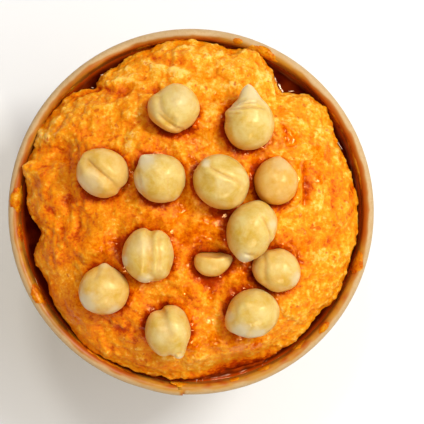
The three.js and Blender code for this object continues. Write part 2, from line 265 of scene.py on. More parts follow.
def new_primitive(name, add, **settings):
    """Adds a primitive with its place in its mesh."""
    for other in bpy.context.selected_objects:
        other.select_set(False)
    add(**settings)
    obj = bpy.context.active_object
    obj.name = obj.data.name = name
    bpy.ops.object.transform_apply(location=True, rotation=True, scale=True)
    return obj


def copy_of_node(node, name):
    """A copy of a CAD node as an object of its own, with its points merged."""
    mesh = frame["nodes"][node].data.copy()
    obj = bpy.data.objects.new(name, mesh)
    mesh.name = name
    mesh.materials.clear()
    bpy.context.scene.collection.objects.link(obj)
    with editing(obj):
        bpy.ops.mesh.remove_doubles(threshold=MERGED * MM)
    return obj


def mesh_object(name, points, faces):
    """An object from points in millimetres and faces."""
    mesh = bpy.data.meshes.new(name)
    mesh.from_pydata([tuple(p) for p in np.asarray(points) * MM], [], [tuple(f) for f in faces])
    obj = bpy.data.objects.new(name, mesh)
    bpy.context.scene.collection.objects.link(obj)
    return obj


def places(obj):
    """The object's points, in millimetres."""
    flat = np.zeros(len(obj.data.vertices) * 3, np.float32)
    obj.data.vertices.foreach_get("co", flat)
    return flat.reshape(-1, 3).astype(float) / MM


def move_points(obj, points):
    """Moves the object's points to places in millimetres."""
    obj.data.vertices.foreach_set("co", (np.asarray(points) * MM).astype(np.float32).ravel())
    obj.data.update()


def normals_of(obj):
    """The directions in which the object's surface faces at its points."""
    flat = np.zeros(len(obj.data.vertices) * 3, np.float32)
    obj.data.vertices.foreach_get("normal", flat)
    return flat.reshape(-1, 3).astype(float)


def store(obj, name, values):
    """Keeps one number for each point, which the material reads by name."""
    attribute = obj.data.attributes.new(name, "FLOAT", "POINT")
    attribute.data.foreach_set("value", np.asarray(values, np.float32))


def thin_out(obj, hidden):
    """Merges faces among the hidden points until the piece has no more triangles than the limit."""
    obj.data.calc_loop_triangles()
    group = obj.vertex_groups.new(name="hidden")
    group.add(np.flatnonzero(hidden).tolist(), 1.0, "REPLACE")
    modify(obj, "DECIMATE", ratio=FACE_LIMIT / len(obj.data.loop_triangles), vertex_group=group.name)
    obj.vertex_groups.clear()


def surface_of(*objs):
    """A search tree over the faces of the objects, in millimetres."""
    points, faces = [], []
    for obj in objs:
        start = len(points)
        points.extend(map(tuple, places(obj)))
        faces.extend(tuple(start + i for i in face.vertices) for face in obj.data.polygons)
    return BVHTree.FromPolygons(points, faces)


def finish_piece(obj, slot, material, *nodes):
    """Smooths a piece, gives it its material, attaches it to the root body and hides the CAD nodes it
    stands in for.
    """
    obj.data.materials.clear()
    obj.data.materials.append(material)
    only(obj)
    bpy.ops.object.shade_smooth()
    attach(obj, "root")
    if nodes:
        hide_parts(*nodes)


# ---- Places and patterns in space -----------------------------------------------------------------

NOISE_TABLE = 256
LUMP_GAIN = 1.6  # brings lumps to about -1 to 1
CLOD_GAIN = 1.6  # brings the largest clods to about 1
LOWEST_GRAIN = 0.45  # height of the lowest grain
GRAIN_STRAY = 0.45  # how far a grain lies from the middle of its cell
GRAIN_EDGE = (0.1, 0.95)  # distances from its middle over which a grain falls off
STROKE_END = 1.5  # length over which a stroke fades at each end
LIP_AWAY = 2.2  # where the lips beside a furrow stand, in widths from its line


def radius_of(points):
    """How far each point is from the tub's axis."""
    return np.hypot(points[:, 0], points[:, 1])


def compass_of(points):
    """In which compass direction each point lies, in degrees from +X towards +Y."""
    return np.degrees(np.arctan2(points[:, 1], points[:, 0]))


def turn_from(compass, middle):
    """How far a compass direction is turned from another one, from -180 to 180 degrees."""
    return (compass - middle + 180) % 360 - 180


def away_from(points, spot):
    """How far each point is from a spot, seen from above."""
    return np.hypot(points[:, 0] - spot[0], points[:, 1] - spot[1])


def noise_tables(seed):
    """A shuffled order of the numbers below NOISE_TABLE, and as many random directions."""
    draw = np.random.default_rng(seed)
    order = draw.permutation(NOISE_TABLE)
    slopes = draw.normal(size=(NOISE_TABLE, 3))
    return order, slopes / np.linalg.norm(slopes, axis=1, keepdims=True)


def lumps(points, size, seed):
    """Smooth uneven bumps, size across, from about -1 to 1."""
    order, slopes = noise_tables(seed)
    grid = np.asarray(points) / size
    cell = np.floor(grid).astype(np.int64)
    part = grid - cell
    ease = part ** 3 * (part * (part * 6 - 15) + 10)
    total = np.zeros(len(grid))
    for corner in itertools.product((0, 1), repeat=3):
        key = np.zeros(len(grid), np.int64)
        for axis in range(3):
            key = order[(key + cell[:, axis] + corner[axis]) % NOISE_TABLE]
        weight = np.prod(np.where(corner, ease, 1 - ease), axis=1)
        total += weight * ((part - corner) * slopes[key]).sum(axis=1)
    return LUMP_GAIN * total


def clods(points, size, seed):
    """Round bumps with sharp hollows between them, from 0 in the hollows to about 1."""
    return np.abs(lumps(points, size, seed)) * CLOD_GAIN


def grains(points, size, seed):
    """Separate rounded crumbs of unequal height, size apart: 0 between them to about 1 on them."""
    order, slopes = noise_tables(seed)
    heights = LOWEST_GRAIN + (1 - LOWEST_GRAIN) * np.random.default_rng(seed + 1).random(NOISE_TABLE)
    grid = np.asarray(points) / size
    cell = np.floor(grid).astype(np.int64)
    nearest = np.full(len(grid), np.inf)
    high = np.zeros(len(grid))
    for step in itertools.product((-1, 0, 1), repeat=3):
        key = np.zeros(len(grid), np.int64)
        for axis in range(3):
            key = order[(key + cell[:, axis] + step[axis]) % NOISE_TABLE]
        away = np.linalg.norm(grid - (cell + step + 0.5 + GRAIN_STRAY * slopes[key]), axis=1)
        high = np.where(away < nearest, heights[key], high)
        nearest = np.minimum(nearest, away)
    return high * (1 - smoothstep(*GRAIN_EDGE, nearest))


def uneven(points, parts):
    """Lumps on lumps: each part has its height, size and seed."""
    return sum(height * lumps(points, size, seed) for height, size, seed in parts)


def rounded(path):
    """The path with its corners cut off twice."""
    for _ in range(2):
        corners = [np.array(place, float) for place in path]
        path = [corners[0]]
        for start, end in zip(corners, corners[1:]):
            path += [0.75 * start + 0.25 * end, 0.25 * start + 0.75 * end]
        path.append(corners[-1])
    return path


def stroke(plan, path, width):
    """How strongly each point, seen from above, lies under a stroke of that width along the path:
    1 on its line, fading to both sides and towards its ends. Also how strongly it lies under the two
    lips beside the stroke."""
    path = rounded(path)
    length = sum(math.dist(start, end) for start, end in zip(path, path[1:]))
    nearest = np.full(len(plan), np.inf)
    place = np.zeros(len(plan))
    run = 0
    for start, end in zip(path, path[1:]):
        piece = math.dist(start, end)
        along = (end - start) / piece
        share = np.clip((plan - start) @ along, 0, piece)
        away = np.linalg.norm(plan - start - share[:, None] * along, axis=1)
        place = np.where(away < nearest, run + share, place)
        nearest = np.minimum(nearest, away)
        run += piece
    taper = np.sqrt(np.clip(np.minimum(place, length - place) / min(STROKE_END, length / 2), 0, 1))
    return taper * bell(nearest, width), taper * bell(nearest - LIP_AWAY * width, width)


# ---- Materials ------------------------------------------------------------------------------------

MIX_A, MIX_B, MIX_OUT = 6, 7, 2  # sockets of a Mix node set to colour
MOST_NOISE = {"From Min": 0.3, "From Max": 0.7}  # holds nearly all of a noise's values
OIL_IOR = 1.47  # of olive oil, and of the oily film on a boiled chickpea
# Sizes of the patterns: fibres and flecks in the card, grains, specks and crumbs in the paste, pores in
# a chickpea, and patches of paler and deeper tone. Real fibres, grains and pores are finer: these are
# as coarse as they need to be to show.
FIBRE, FLECK = 1.1, 2.2
GRAIN, SPECK, PALE_CRUMB = 0.9, 1.8, 1.3
PORE = 0.7
OIL_PATCH, SKIN_PATCH, FLOOR_PATCH = 5, 4, 180


def feed(tree, node, inputs):
    """Gives a node's inputs links or values."""
    for key, value in inputs.items():
        if isinstance(value, bpy.types.NodeSocket):
            tree.links.new(value, node.inputs[key])
        else:
            node.inputs[key].default_value = value


def add(tree, kind, inputs=None, stops=(), **settings):
    """Adds a node with its settings, inputs and, for a ramp, the places and colours of its stops."""
    node = tree.nodes.new(kind)
    for key, value in settings.items():
        setattr(node, key, value)
    feed(tree, node, inputs or {})
    for i, (place, colour) in enumerate(stops):
        elements = node.color_ramp.elements
        element = elements[i] if i < 2 else elements.new(place)
        element.position = place
        element.color = colour
    return node


def new_material(name):
    """A material with its tree, its shader and the Object coordinates."""
    material = bpy.data.materials.new(name)
    material.use_nodes = True
    tree = material.node_tree
    shader = tree.nodes["Principled BSDF"]
    place = add(tree, "ShaderNodeTexCoord").outputs["Object"]
    return material, tree, shader, place


def grey(level):
    return (level, level, level, 1.0)


def kraft_card(look):
    """Uncoated brown kraft outside, a thin polyethylene coat inside: matte, with short fibres of two
    close browns and a few flecks. Inside, and on the inner half of the roll, oil has soaked in; a thin
    dark line along the seam is painted shade."""
    material, tree, shader, place = new_material("kraft_card")
    stain = add(tree, "ShaderNodeAttribute", attribute_name="stain").outputs["Fac"]
    film = add(tree, "ShaderNodeAttribute", attribute_name="film").outputs["Fac"]
    fibres = add(tree, "ShaderNodeTexNoise", {
        "Vector": place, "Scale": per_mm(FIBRE), "Detail": 6.0, "Roughness": 0.7, "Distortion": 1.5})
    flecks = add(tree, "ShaderNodeTexNoise", {
        "Vector": place, "Scale": per_mm(FLECK), "Detail": 3.0, "Roughness": 0.6})
    fibre_mask = add(tree, "ShaderNodeValToRGB", {"Fac": fibres.outputs["Fac"]}, stops=[
        (0.36, grey(0.7)), (0.62, grey(0))])
    fleck_mask = add(tree, "ShaderNodeValToRGB", {"Fac": flecks.outputs["Fac"]}, stops=[
        (0.66, grey(0)), (0.74, grey(0.8))])
    soaked = add(tree, "ShaderNodeValToRGB", {"Fac": stain}, stops=[
        (0.0, rgba(look.kraft)), (0.5, rgba(look.damp)), (1.0, rgba(look.stain))])
    covered = add(tree, "ShaderNodeMath", {0: stain, 1: 2.0}, operation="MULTIPLY", use_clamp=True)
    # Each layer of colour goes over those before it, where its mask is white.
    colour = rgba(look.kraft)
    for mask, layer in (
            (fibre_mask.outputs["Color"], rgba(look.fibre)),
            (fleck_mask.outputs["Color"], rgba(look.fibre)),
            (covered.outputs[0], soaked.outputs["Color"]),
            (film, rgba(look.film))):
        mix = add(tree, "ShaderNodeMix", {0: mask, MIX_A: colour, MIX_B: layer}, data_type="RGBA")
        colour = mix.outputs[MIX_OUT]
    rough = add(tree, "ShaderNodeMapRange", {"Value": stain, "To Min": 0.62, "To Max": 0.36})
    bump = add(tree, "ShaderNodeBump", {
        "Height": fibres.outputs["Fac"], "Strength": 0.2, "Distance": 0.08 * MM})
    feed(tree, shader, {
        "Base Color": colour, "Roughness": rough.outputs[0], "Normal": bump.outputs["Normal"]})
    return material


def red_pepper_hummus(look):
    """Coarse chickpea paste with red pepper and oil: grainy and half matte where it is airy, smooth,
    redder and glossy where oil has risen, with small specks of pepper and pale grains. Its tone follows
    the relief and the chickpeas: painted light on raised paste, painted shade in hollows and beside
    the chickpeas."""
    material, tree, shader, place = new_material("red_pepper_hummus")
    hollow = add(tree, "ShaderNodeAttribute", attribute_name="hollow").outputs["Fac"]
    oily = add(tree, "ShaderNodeAttribute", attribute_name="oily").outputs["Fac"]
    grain = add(tree, "ShaderNodeTexNoise", {
        "Vector": place, "Scale": per_mm(GRAIN), "Detail": 4.0, "Roughness": 0.65})
    cloud = add(tree, "ShaderNodeTexNoise", {
        "Vector": place, "Scale": per_mm(OIL_PATCH), "Detail": 3.0})
    # Grains that the bump raises are painted lighter, as light on their tops.
    grain_share = add(tree, "ShaderNodeMapRange", {
        "Value": grain.outputs["Fac"], **MOST_NOISE, "To Min": 0.3, "To Max": -0.3}, clamp=False)
    cloud_share = add(tree, "ShaderNodeMapRange", {
        "Value": cloud.outputs["Fac"], **MOST_NOISE, "To Min": -0.18, "To Max": 0.18}, clamp=False)
    tone = add(tree, "ShaderNodeMath", {0: hollow, 1: grain_share.outputs[0]}, operation="ADD")
    tone = add(tree, "ShaderNodeMath", {
        0: tone.outputs[0], 1: cloud_share.outputs[0]}, operation="ADD", use_clamp=True)
    # The tone paints light on raised paste and shade in hollows and beside the chickpeas.
    dry = add(tree, "ShaderNodeValToRGB", {"Fac": tone.outputs[0]}, stops=[
        (0.0, rgba(look.pale)), (0.18, rgba(look.crest)), (0.42, rgba(look.paste)),
        (0.75, rgba(look.hollow)), (1.0, rgba(look.pepper))])
    wet = add(tree, "ShaderNodeValToRGB", {"Fac": tone.outputs[0]}, stops=[
        (0.0, rgba(look.paste)), (0.35, rgba(look.hollow)), (0.65, rgba(look.pepper)),
        (1.0, rgba(look.deep))])
    specks = add(tree, "ShaderNodeTexNoise", {
        "Vector": place, "Scale": per_mm(SPECK), "Detail": 1.0})
    speck_mask = add(tree, "ShaderNodeValToRGB", {"Fac": specks.outputs["Fac"]}, stops=[
        (0.66, grey(0)), (0.74, grey(0.7))])
    crumbs = add(tree, "ShaderNodeTexNoise", {
        "Vector": place, "Scale": per_mm(PALE_CRUMB), "Detail": 2.0, "Roughness": 0.6,
        "Distortion": 0.4})
    crumb_mask = add(tree, "ShaderNodeValToRGB", {"Fac": crumbs.outputs["Fac"]}, stops=[
        (0.56, grey(0)), (0.68, grey(0.9))])
    airy = add(tree, "ShaderNodeMapRange", {"Value": tone.outputs[0], "From Min": 0.55, "From Max": 0.2})
    dryness = add(tree, "ShaderNodeMapRange", {"Value": oily, "From Min": 0.45, "From Max": 0.1})
    shown = add(tree, "ShaderNodeMath", {
        0: airy.outputs[0], 1: dryness.outputs[0]}, operation="MULTIPLY")
    shown = add(tree, "ShaderNodeMath", {
        0: shown.outputs[0], 1: crumb_mask.outputs["Color"]}, operation="MULTIPLY")
    colour = dry.outputs["Color"]
    for mask, layer in (
            (oily, wet.outputs["Color"]),
            (speck_mask.outputs["Color"], rgba(look.pepper)),
            (shown.outputs[0], rgba(look.pale))):
        mix = add(tree, "ShaderNodeMix", {0: mask, MIX_A: colour, MIX_B: layer}, data_type="RGBA")
        colour = mix.outputs[MIX_OUT]
    rough = add(tree, "ShaderNodeMapRange", {
        "Value": oily, "From Min": 0.15, "From Max": 0.6, "To Min": 0.5, "To Max": 0.12})
    grainy = add(tree, "ShaderNodeMapRange", {
        "Value": oily, "From Min": 0.1, "From Max": 0.6, "To Min": 0.55, "To Max": 0.15})
    bump = add(tree, "ShaderNodeBump", {
        "Height": grain.outputs["Fac"], "Strength": grainy.outputs[0], "Distance": 0.3 * MM})
    feed(tree, shader, {
        "Base Color": colour, "Roughness": rough.outputs[0], "Normal": bump.outputs["Normal"],
        "Specular Tint": rgba(look.sheen), "Subsurface Weight": 0.4,
        "Subsurface Radius": (1.0, 0.4, 0.08), "Subsurface Scale": 0.8 * MM})
    return material


def paprika_oil(look):
    """Olive oil coloured by paprika, deep enough to look almost black red: a liquid gloss."""
    material, tree, shader, place = new_material("paprika_oil")
    deep = add(tree, "ShaderNodeAttribute", attribute_name="deep").outputs["Fac"]
    cloud = add(tree, "ShaderNodeTexNoise", {
        "Vector": place, "Scale": per_mm(OIL_PATCH), "Detail": 2.0})
    patchy = add(tree, "ShaderNodeMapRange", {
        "Value": cloud.outputs["Fac"], **MOST_NOISE, "To Min": -0.15, "To Max": 0.15})
    depth = add(tree, "ShaderNodeMath", {0: deep, 1: patchy.outputs[0]}, operation="ADD", use_clamp=True)
    tint = add(tree, "ShaderNodeMix", {
        0: depth.outputs[0], MIX_A: rgba(look.shallow), MIX_B: rgba(look.colour)}, data_type="RGBA")
    feed(tree, shader, {
        "Base Color": tint.outputs[MIX_OUT], "Roughness": 0.06, "IOR": OIL_IOR,
        "Specular Tint": rgba(look.sheen)})
    return material


def boiled_chickpea(look):
    """A boiled chickpea's skin: smooth, damp and slightly see-through, pale yellow, more orange where oil
    has stained it, with painted shade in its creases and on its sides away from the light, and whitish
    where the skin has come loose."""
    material, tree, shader, place = new_material("boiled_chickpea")
    crease = add(tree, "ShaderNodeAttribute", attribute_name="crease").outputs["Fac"]
    loose = add(tree, "ShaderNodeAttribute", attribute_name="loose").outputs["Fac"]
    cloud = add(tree, "ShaderNodeTexNoise", {
        "Vector": place, "Scale": per_mm(SKIN_PATCH), "Detail": 5.0, "Roughness": 0.7,
        "Distortion": 0.3})
    cloud_mask = add(tree, "ShaderNodeValToRGB", {"Fac": cloud.outputs["Fac"]}, stops=[
        (0.32, grey(0.05)), (0.65, grey(0.92))])
    colour = rgba(look.skin)
    for mask, layer in (
            (cloud_mask.outputs["Color"], look.pale), (crease, look.deep), (loose, look.loose)):
        mix = add(tree, "ShaderNodeMix", {
            0: mask, MIX_A: colour, MIX_B: rgba(layer)}, data_type="RGBA")
        colour = mix.outputs[MIX_OUT]
    pores = add(tree, "ShaderNodeTexNoise", {
        "Vector": place, "Scale": per_mm(PORE), "Detail": 3.0})
    bump = add(tree, "ShaderNodeBump", {
        "Height": pores.outputs["Fac"], "Strength": 0.35, "Distance": 0.1 * MM})
    feed(tree, shader, {
        "Base Color": colour, "Roughness": 0.32, "IOR": OIL_IOR, "Normal": bump.outputs["Normal"],
        "Specular Tint": rgba(look.sheen), "Subsurface Weight": 0.75,
        "Subsurface Radius": (1.0, 0.8, 0.4), "Subsurface Scale": 2.0 * MM})
    return material


# ---- The stage ------------------------------------------------------------------------------------

CAMERA_AT = (5.5, -0.08)  # the camera looks straight down here
VIEW_WIDTH = 111.0  # what the picture shows across, at the height of the rim
SENSOR = 36.0
FLOOR_SIZE = 4.0  # metres
FLOOR_TONE = 0.97  # how much of the floor's brightness is left in its darker patches
LIGHT_DISTANCE = 0.9  # metres
# Each light's name, compass direction, elevation, size in metres, colour, and whether it shows in
# glossy surfaces.
LIGHTS = (
    ("key", 28, 50, 0.9, "FFFAF2", False),
    ("core", 32, 54, 0.2, "FFF6E2", True),
    ("fill", 200, 32, 0.8, "FFDDB4", False),
    ("back", 98, 64, 0.13, "FFF4DC", True),
    ("front", 285, 38, 0.1, "FFF1D0", True),
)
ROOM_LIGHT = "FFECD4"


class HUMMUS_OT_stage(bpy.types.Operator):
    """Adds the floor, the lights and the camera"""
    bl_idname = "hummus.stage"
    bl_label = "Stage"

    def execute(self, context):
        look = context.scene.stage_look
        floor = new_primitive("floor", bpy.ops.mesh.primitive_plane_add, size=FLOOR_SIZE)
        material, tree, shader, place = new_material("painted_floor")
        cloud = add(tree, "ShaderNodeTexNoise", {"Vector": place, "Scale": per_mm(FLOOR_PATCH)})
        tint = add(tree, "ShaderNodeMix", {
            0: cloud.outputs["Fac"], MIX_A: rgba(look.floor),
            MIX_B: rgba([FLOOR_TONE * c for c in look.floor])}, data_type="RGBA")
        feed(tree, shader, {"Base Color": tint.outputs[MIX_OUT], "Roughness": 0.7})
        floor.data.materials.append(material)

        target = Vector((0, 0, CAD_BOX[1][2]))
        for name, compass, elevation, size, colour, glossy in LIGHTS:
            light = bpy.data.lights.new(name, "AREA")
            light.shape = "SQUARE"
            light.size = size
            light.energy = getattr(look, name + "_power")
            light.color = linear(colour)
            lamp = bpy.data.objects.new(name, light)
            turn, lift = math.radians(compass), math.radians(elevation)
            level = math.cos(lift)
            towards = Vector((level * math.cos(turn), level * math.sin(turn), math.sin(lift)))
            lamp.location = target + LIGHT_DISTANCE * towards
            lamp.rotation_euler = towards.to_track_quat("Z", "Y").to_euler()
            lamp.visible_glossy = glossy
            context.scene.collection.objects.link(lamp)

        world = bpy.data.worlds.new("room")
        world.use_nodes = True
        feed(world.node_tree, world.node_tree.nodes["Background"], {
            "Color": rgba(linear(ROOM_LIGHT)), "Strength": look.sky})
        world.cycles_visibility.glossy = False
        context.scene.world = world
        context.scene.view_settings.view_transform = "Standard"

        camera = bpy.data.objects.new("camera", bpy.data.cameras.new("camera"))
        camera.data.sensor_width = SENSOR
        camera.data.lens = SENSOR * look.camera_height / (VIEW_WIDTH * MM)
        camera.location = (CAMERA_AT[0] * MM, CAMERA_AT[1] * MM, RIM.z + look.camera_height)
        context.scene.collection.objects.link(camera)
        context.scene.camera = camera
        return {"FINISHED"}


# ---- The tub --------------------------------------------------------------------------------------

FOOT_RADIUS = 38.5  # outside of the foot
ROLL_POINTS = 28
ROLL_OPEN = (-178, -126)  # degrees round the roll's own middle where it is open, under its edge
SPIN_STEPS = 256
SEAM_OVERLAP = 1.5  # degrees that the card's outer edge reaches past its start
SEAM_RISE = 14  # degrees over which the overlap comes in
SEAM_LINE = 0.3  # degrees to each side of the seam that are painted dark along its edge, as the shade of its step
STAIN_Z = 50  # the wall is divided here, a little below the lowest stain
SOAKED_Z = 51  # oil has soaked in above this height
SOAKED = (-0.55, 0.6)  # from card that faces away from the dip, and is dry, to card that faces it
DRIER = 0.35  # how much less oil has soaked in towards +Y
SOAK_EDGE = ((0.35, 5, 31), (0.15, 1.6, 32))  # lumps that make the edge of the stain uneven
# Where dip has been wiped over the rim: compass directions from and to, and how far out over the roll,
# from -1 at its outside to 1 at its inside.
FILMS = (
    (183, 222, 0.1), (252, 306, -0.4), (306, 350, -0.1), (50, 80, -0.1), (120, 160, 0.6),
)
FILM_END = 3  # degrees over which a film comes in at each end
FILM_EDGE = 0.5  # and how far it takes to come in across the roll
FILM_COVER = 0.85  # how much of the card the film hides
FILM_GAPS = (-0.65, 0.25)  # from bare to covered
FILM_LUMPS = ((1, 2.6, 33), (0.5, 1.1, 34))


def inner_wall(height):
    """Inside radius of the tub's wall at a height, both in millimetres."""
    look = bpy.context.scene.tub_look
    foot = FOOT_RADIUS - look.card / MM
    rim = (RIM.x - look.roll) / MM
    return foot + (rim - foot) * height / ((RIM.z - look.roll / 2) / MM)


def card_section(look):
    """The section of the wall as a line through the middle of its card, in the XZ plane: the hem
    inside the foot, the wall and the rolled rim."""
    half = look.card / 2
    roll_radius = look.roll / 2 - half
    roll_x = RIM.x - look.roll / 2
    roll_z = RIM.z - look.roll / 2
    obj = new_primitive(
        "tub_wall", bpy.ops.mesh.primitive_circle_add, vertices=ROLL_POINTS, radius=roll_radius,
        location=(roll_x, 0, roll_z), rotation=(math.pi / 2, 0, 0))

    def around(place):
        return math.degrees(math.atan2(place.z - roll_z, place.x - roll_x))

    hem_x = FOOT_RADIUS * MM - look.card - half
    foot_x = FOOT_RADIUS * MM - half
    turn = (foot_x - hem_x) / 2
    with editing(obj):
        select_points(obj, lambda place: ROLL_OPEN[0] < around(place) < ROLL_OPEN[1])
        bpy.ops.mesh.delete(type="VERT")
        wall_x = roll_x - roll_radius
        select_points(obj, lambda place: abs(place.x - wall_x) < SAME_PLACE * MM)
        wall_share = (roll_z - STAIN_Z * MM) / (roll_z - turn - half)
        steps = [(wall_x + (foot_x - wall_x) * wall_share, STAIN_Z * MM), (foot_x, turn + half)]
        steps += [
            (foot_x - turn + turn * math.cos(a), half + turn - turn * math.sin(a))
            for a in (math.pi / 4, math.pi / 2, 3 * math.pi / 4, math.pi)]
        steps += [(hem_x, look.hem_height)]
        here = (wall_x, roll_z)
        for x, z in steps:
            bpy.ops.mesh.extrude_region_move(
                TRANSFORM_OT_translate={"value": (x - here[0], 0, z - here[1])})
            here = (x, z)
    return obj


class HUMMUS_OT_tub(bpy.types.Operator):
    """Models the card wall, with its rolled rim, hem and seam"""
    bl_idname = "hummus.tub"
    bl_label = "Card wall"

    def execute(self, context):
        look = context.scene.tub_look
        wall = card_section(look)
        ring_length = len(wall.data.vertices)
        whole_turn = 360 + SEAM_OVERLAP
        with editing(wall):
            bpy.ops.mesh.spin(
                steps=SPIN_STEPS, angle=math.radians(whole_turn), center=(0, 0, 0), axis=(0, 0, -1),
                use_auto_merge=False)
        # The spin leaves its rings in order. The last of them rise over the first ones.
        points = places(wall)
        turn = np.arange(len(points)) // ring_length * whole_turn / SPIN_STEPS
        rise = look.seam_step / MM * smoothstep(whole_turn - SEAM_RISE, whole_turn - SEAM_OVERLAP, turn)
        points[:, :2] *= (1 + rise / radius_of(points))[:, None]
        move_points(wall, points)
        wall.rotation_euler.z = look.seam_at - math.radians(SEAM_OVERLAP)
        only(wall)
        bpy.ops.object.transform_apply(location=False, rotation=True, scale=False)
        modify(wall, "SOLIDIFY", thickness=look.card, offset=0, use_even_offset=True)
        # Oil has soaked in where the card faces the dip, least on top of the roll and towards +Y. Along
        # the seam a thin line is painted dark, as the shade of its step.
        points, normals = places(wall), normals_of(wall)
        inwards = -(points[:, :2] * normals[:, :2]).sum(axis=1) / radius_of(points)
        compass = compass_of(points)
        from_seam = turn_from(compass, math.degrees(look.seam_at))
        drier = DRIER * np.clip(points[:, 1] / (RIM.y / MM), 0, 1)
        soaked = smoothstep(*SOAKED, inwards + uneven(points, SOAK_EDGE) - drier)
        # The stain also carries a thin line of painted shade along the seam.
        stain = np.maximum(soaked, bell(from_seam, SEAM_LINE))
        store(wall, "stain", stain * (points[:, 2] > SOAKED_Z))
        film = np.zeros(len(points))
        for start, end, reach in FILMS:
            aside = np.abs(turn_from(compass, (start + end) / 2)) - (end - start) / 2
            along = smoothstep(FILM_END, -FILM_END, aside)
            film = np.maximum(film, along * smoothstep(FILM_EDGE, -FILM_EDGE, reach - inwards))
        patchy = smoothstep(*FILM_GAPS, uneven(points, FILM_LUMPS))
        store(wall, "film", FILM_COVER * film * patchy * (points[:, 2] > SOAKED_Z))
        finish_piece(wall, "kraft_card", kraft_card(look), "bowl_wall")
        return {"FINISHED"}


BASE_SIDES = 128
BASE_BEVEL = 0.15
SHARP = 40  # degrees: edges that turn more than this stay sharp
PRESSED_IN = (6, 0.2)  # a ring pressed into the base: its distance from the edge, and its depth


class HUMMUS_OT_base(bpy.types.Operator):
    """Models the card disc recessed in the foot, with the step pressed into it"""
    bl_idname = "hummus.base"
    bl_label = "Card base"

    def execute(self, context):
        low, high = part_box("bowl_base")
        base = new_primitive(
            "tub_base", bpy.ops.mesh.primitive_cylinder_add, vertices=BASE_SIDES, radius=high.x,
            depth=high.z - low.z, location=(0, 0, (low.z + high.z) / 2))
        inwards, deep = PRESSED_IN
        with editing(base):
            for face_z in (low.z, high.z):
                select_points(base, lambda place: abs(place.z - face_z) < SAME_PLACE * MM)
                bpy.ops.mesh.inset(thickness=inwards * MM)
                if face_z == low.z:
                    bpy.ops.mesh.inset(thickness=2 * deep * MM)
                    bpy.ops.transform.translate(value=(0, 0, deep * MM))
        modify(base, "BEVEL", width=BASE_BEVEL * MM, segments=2, limit_method="ANGLE")
        finish_piece(base, "kraft_card", bpy.data.materials["kraft_card"], "bowl_base")
        only(base)
        bpy.ops.object.shade_smooth_by_angle(angle=math.radians(SHARP))
        return {"FINISHED"}


# ---- The chickpeas --------------------------------------------------------------------------------

CHICKPEA_DETAIL = 6  # subdivisions of the ball that takes on a chickpea's shape
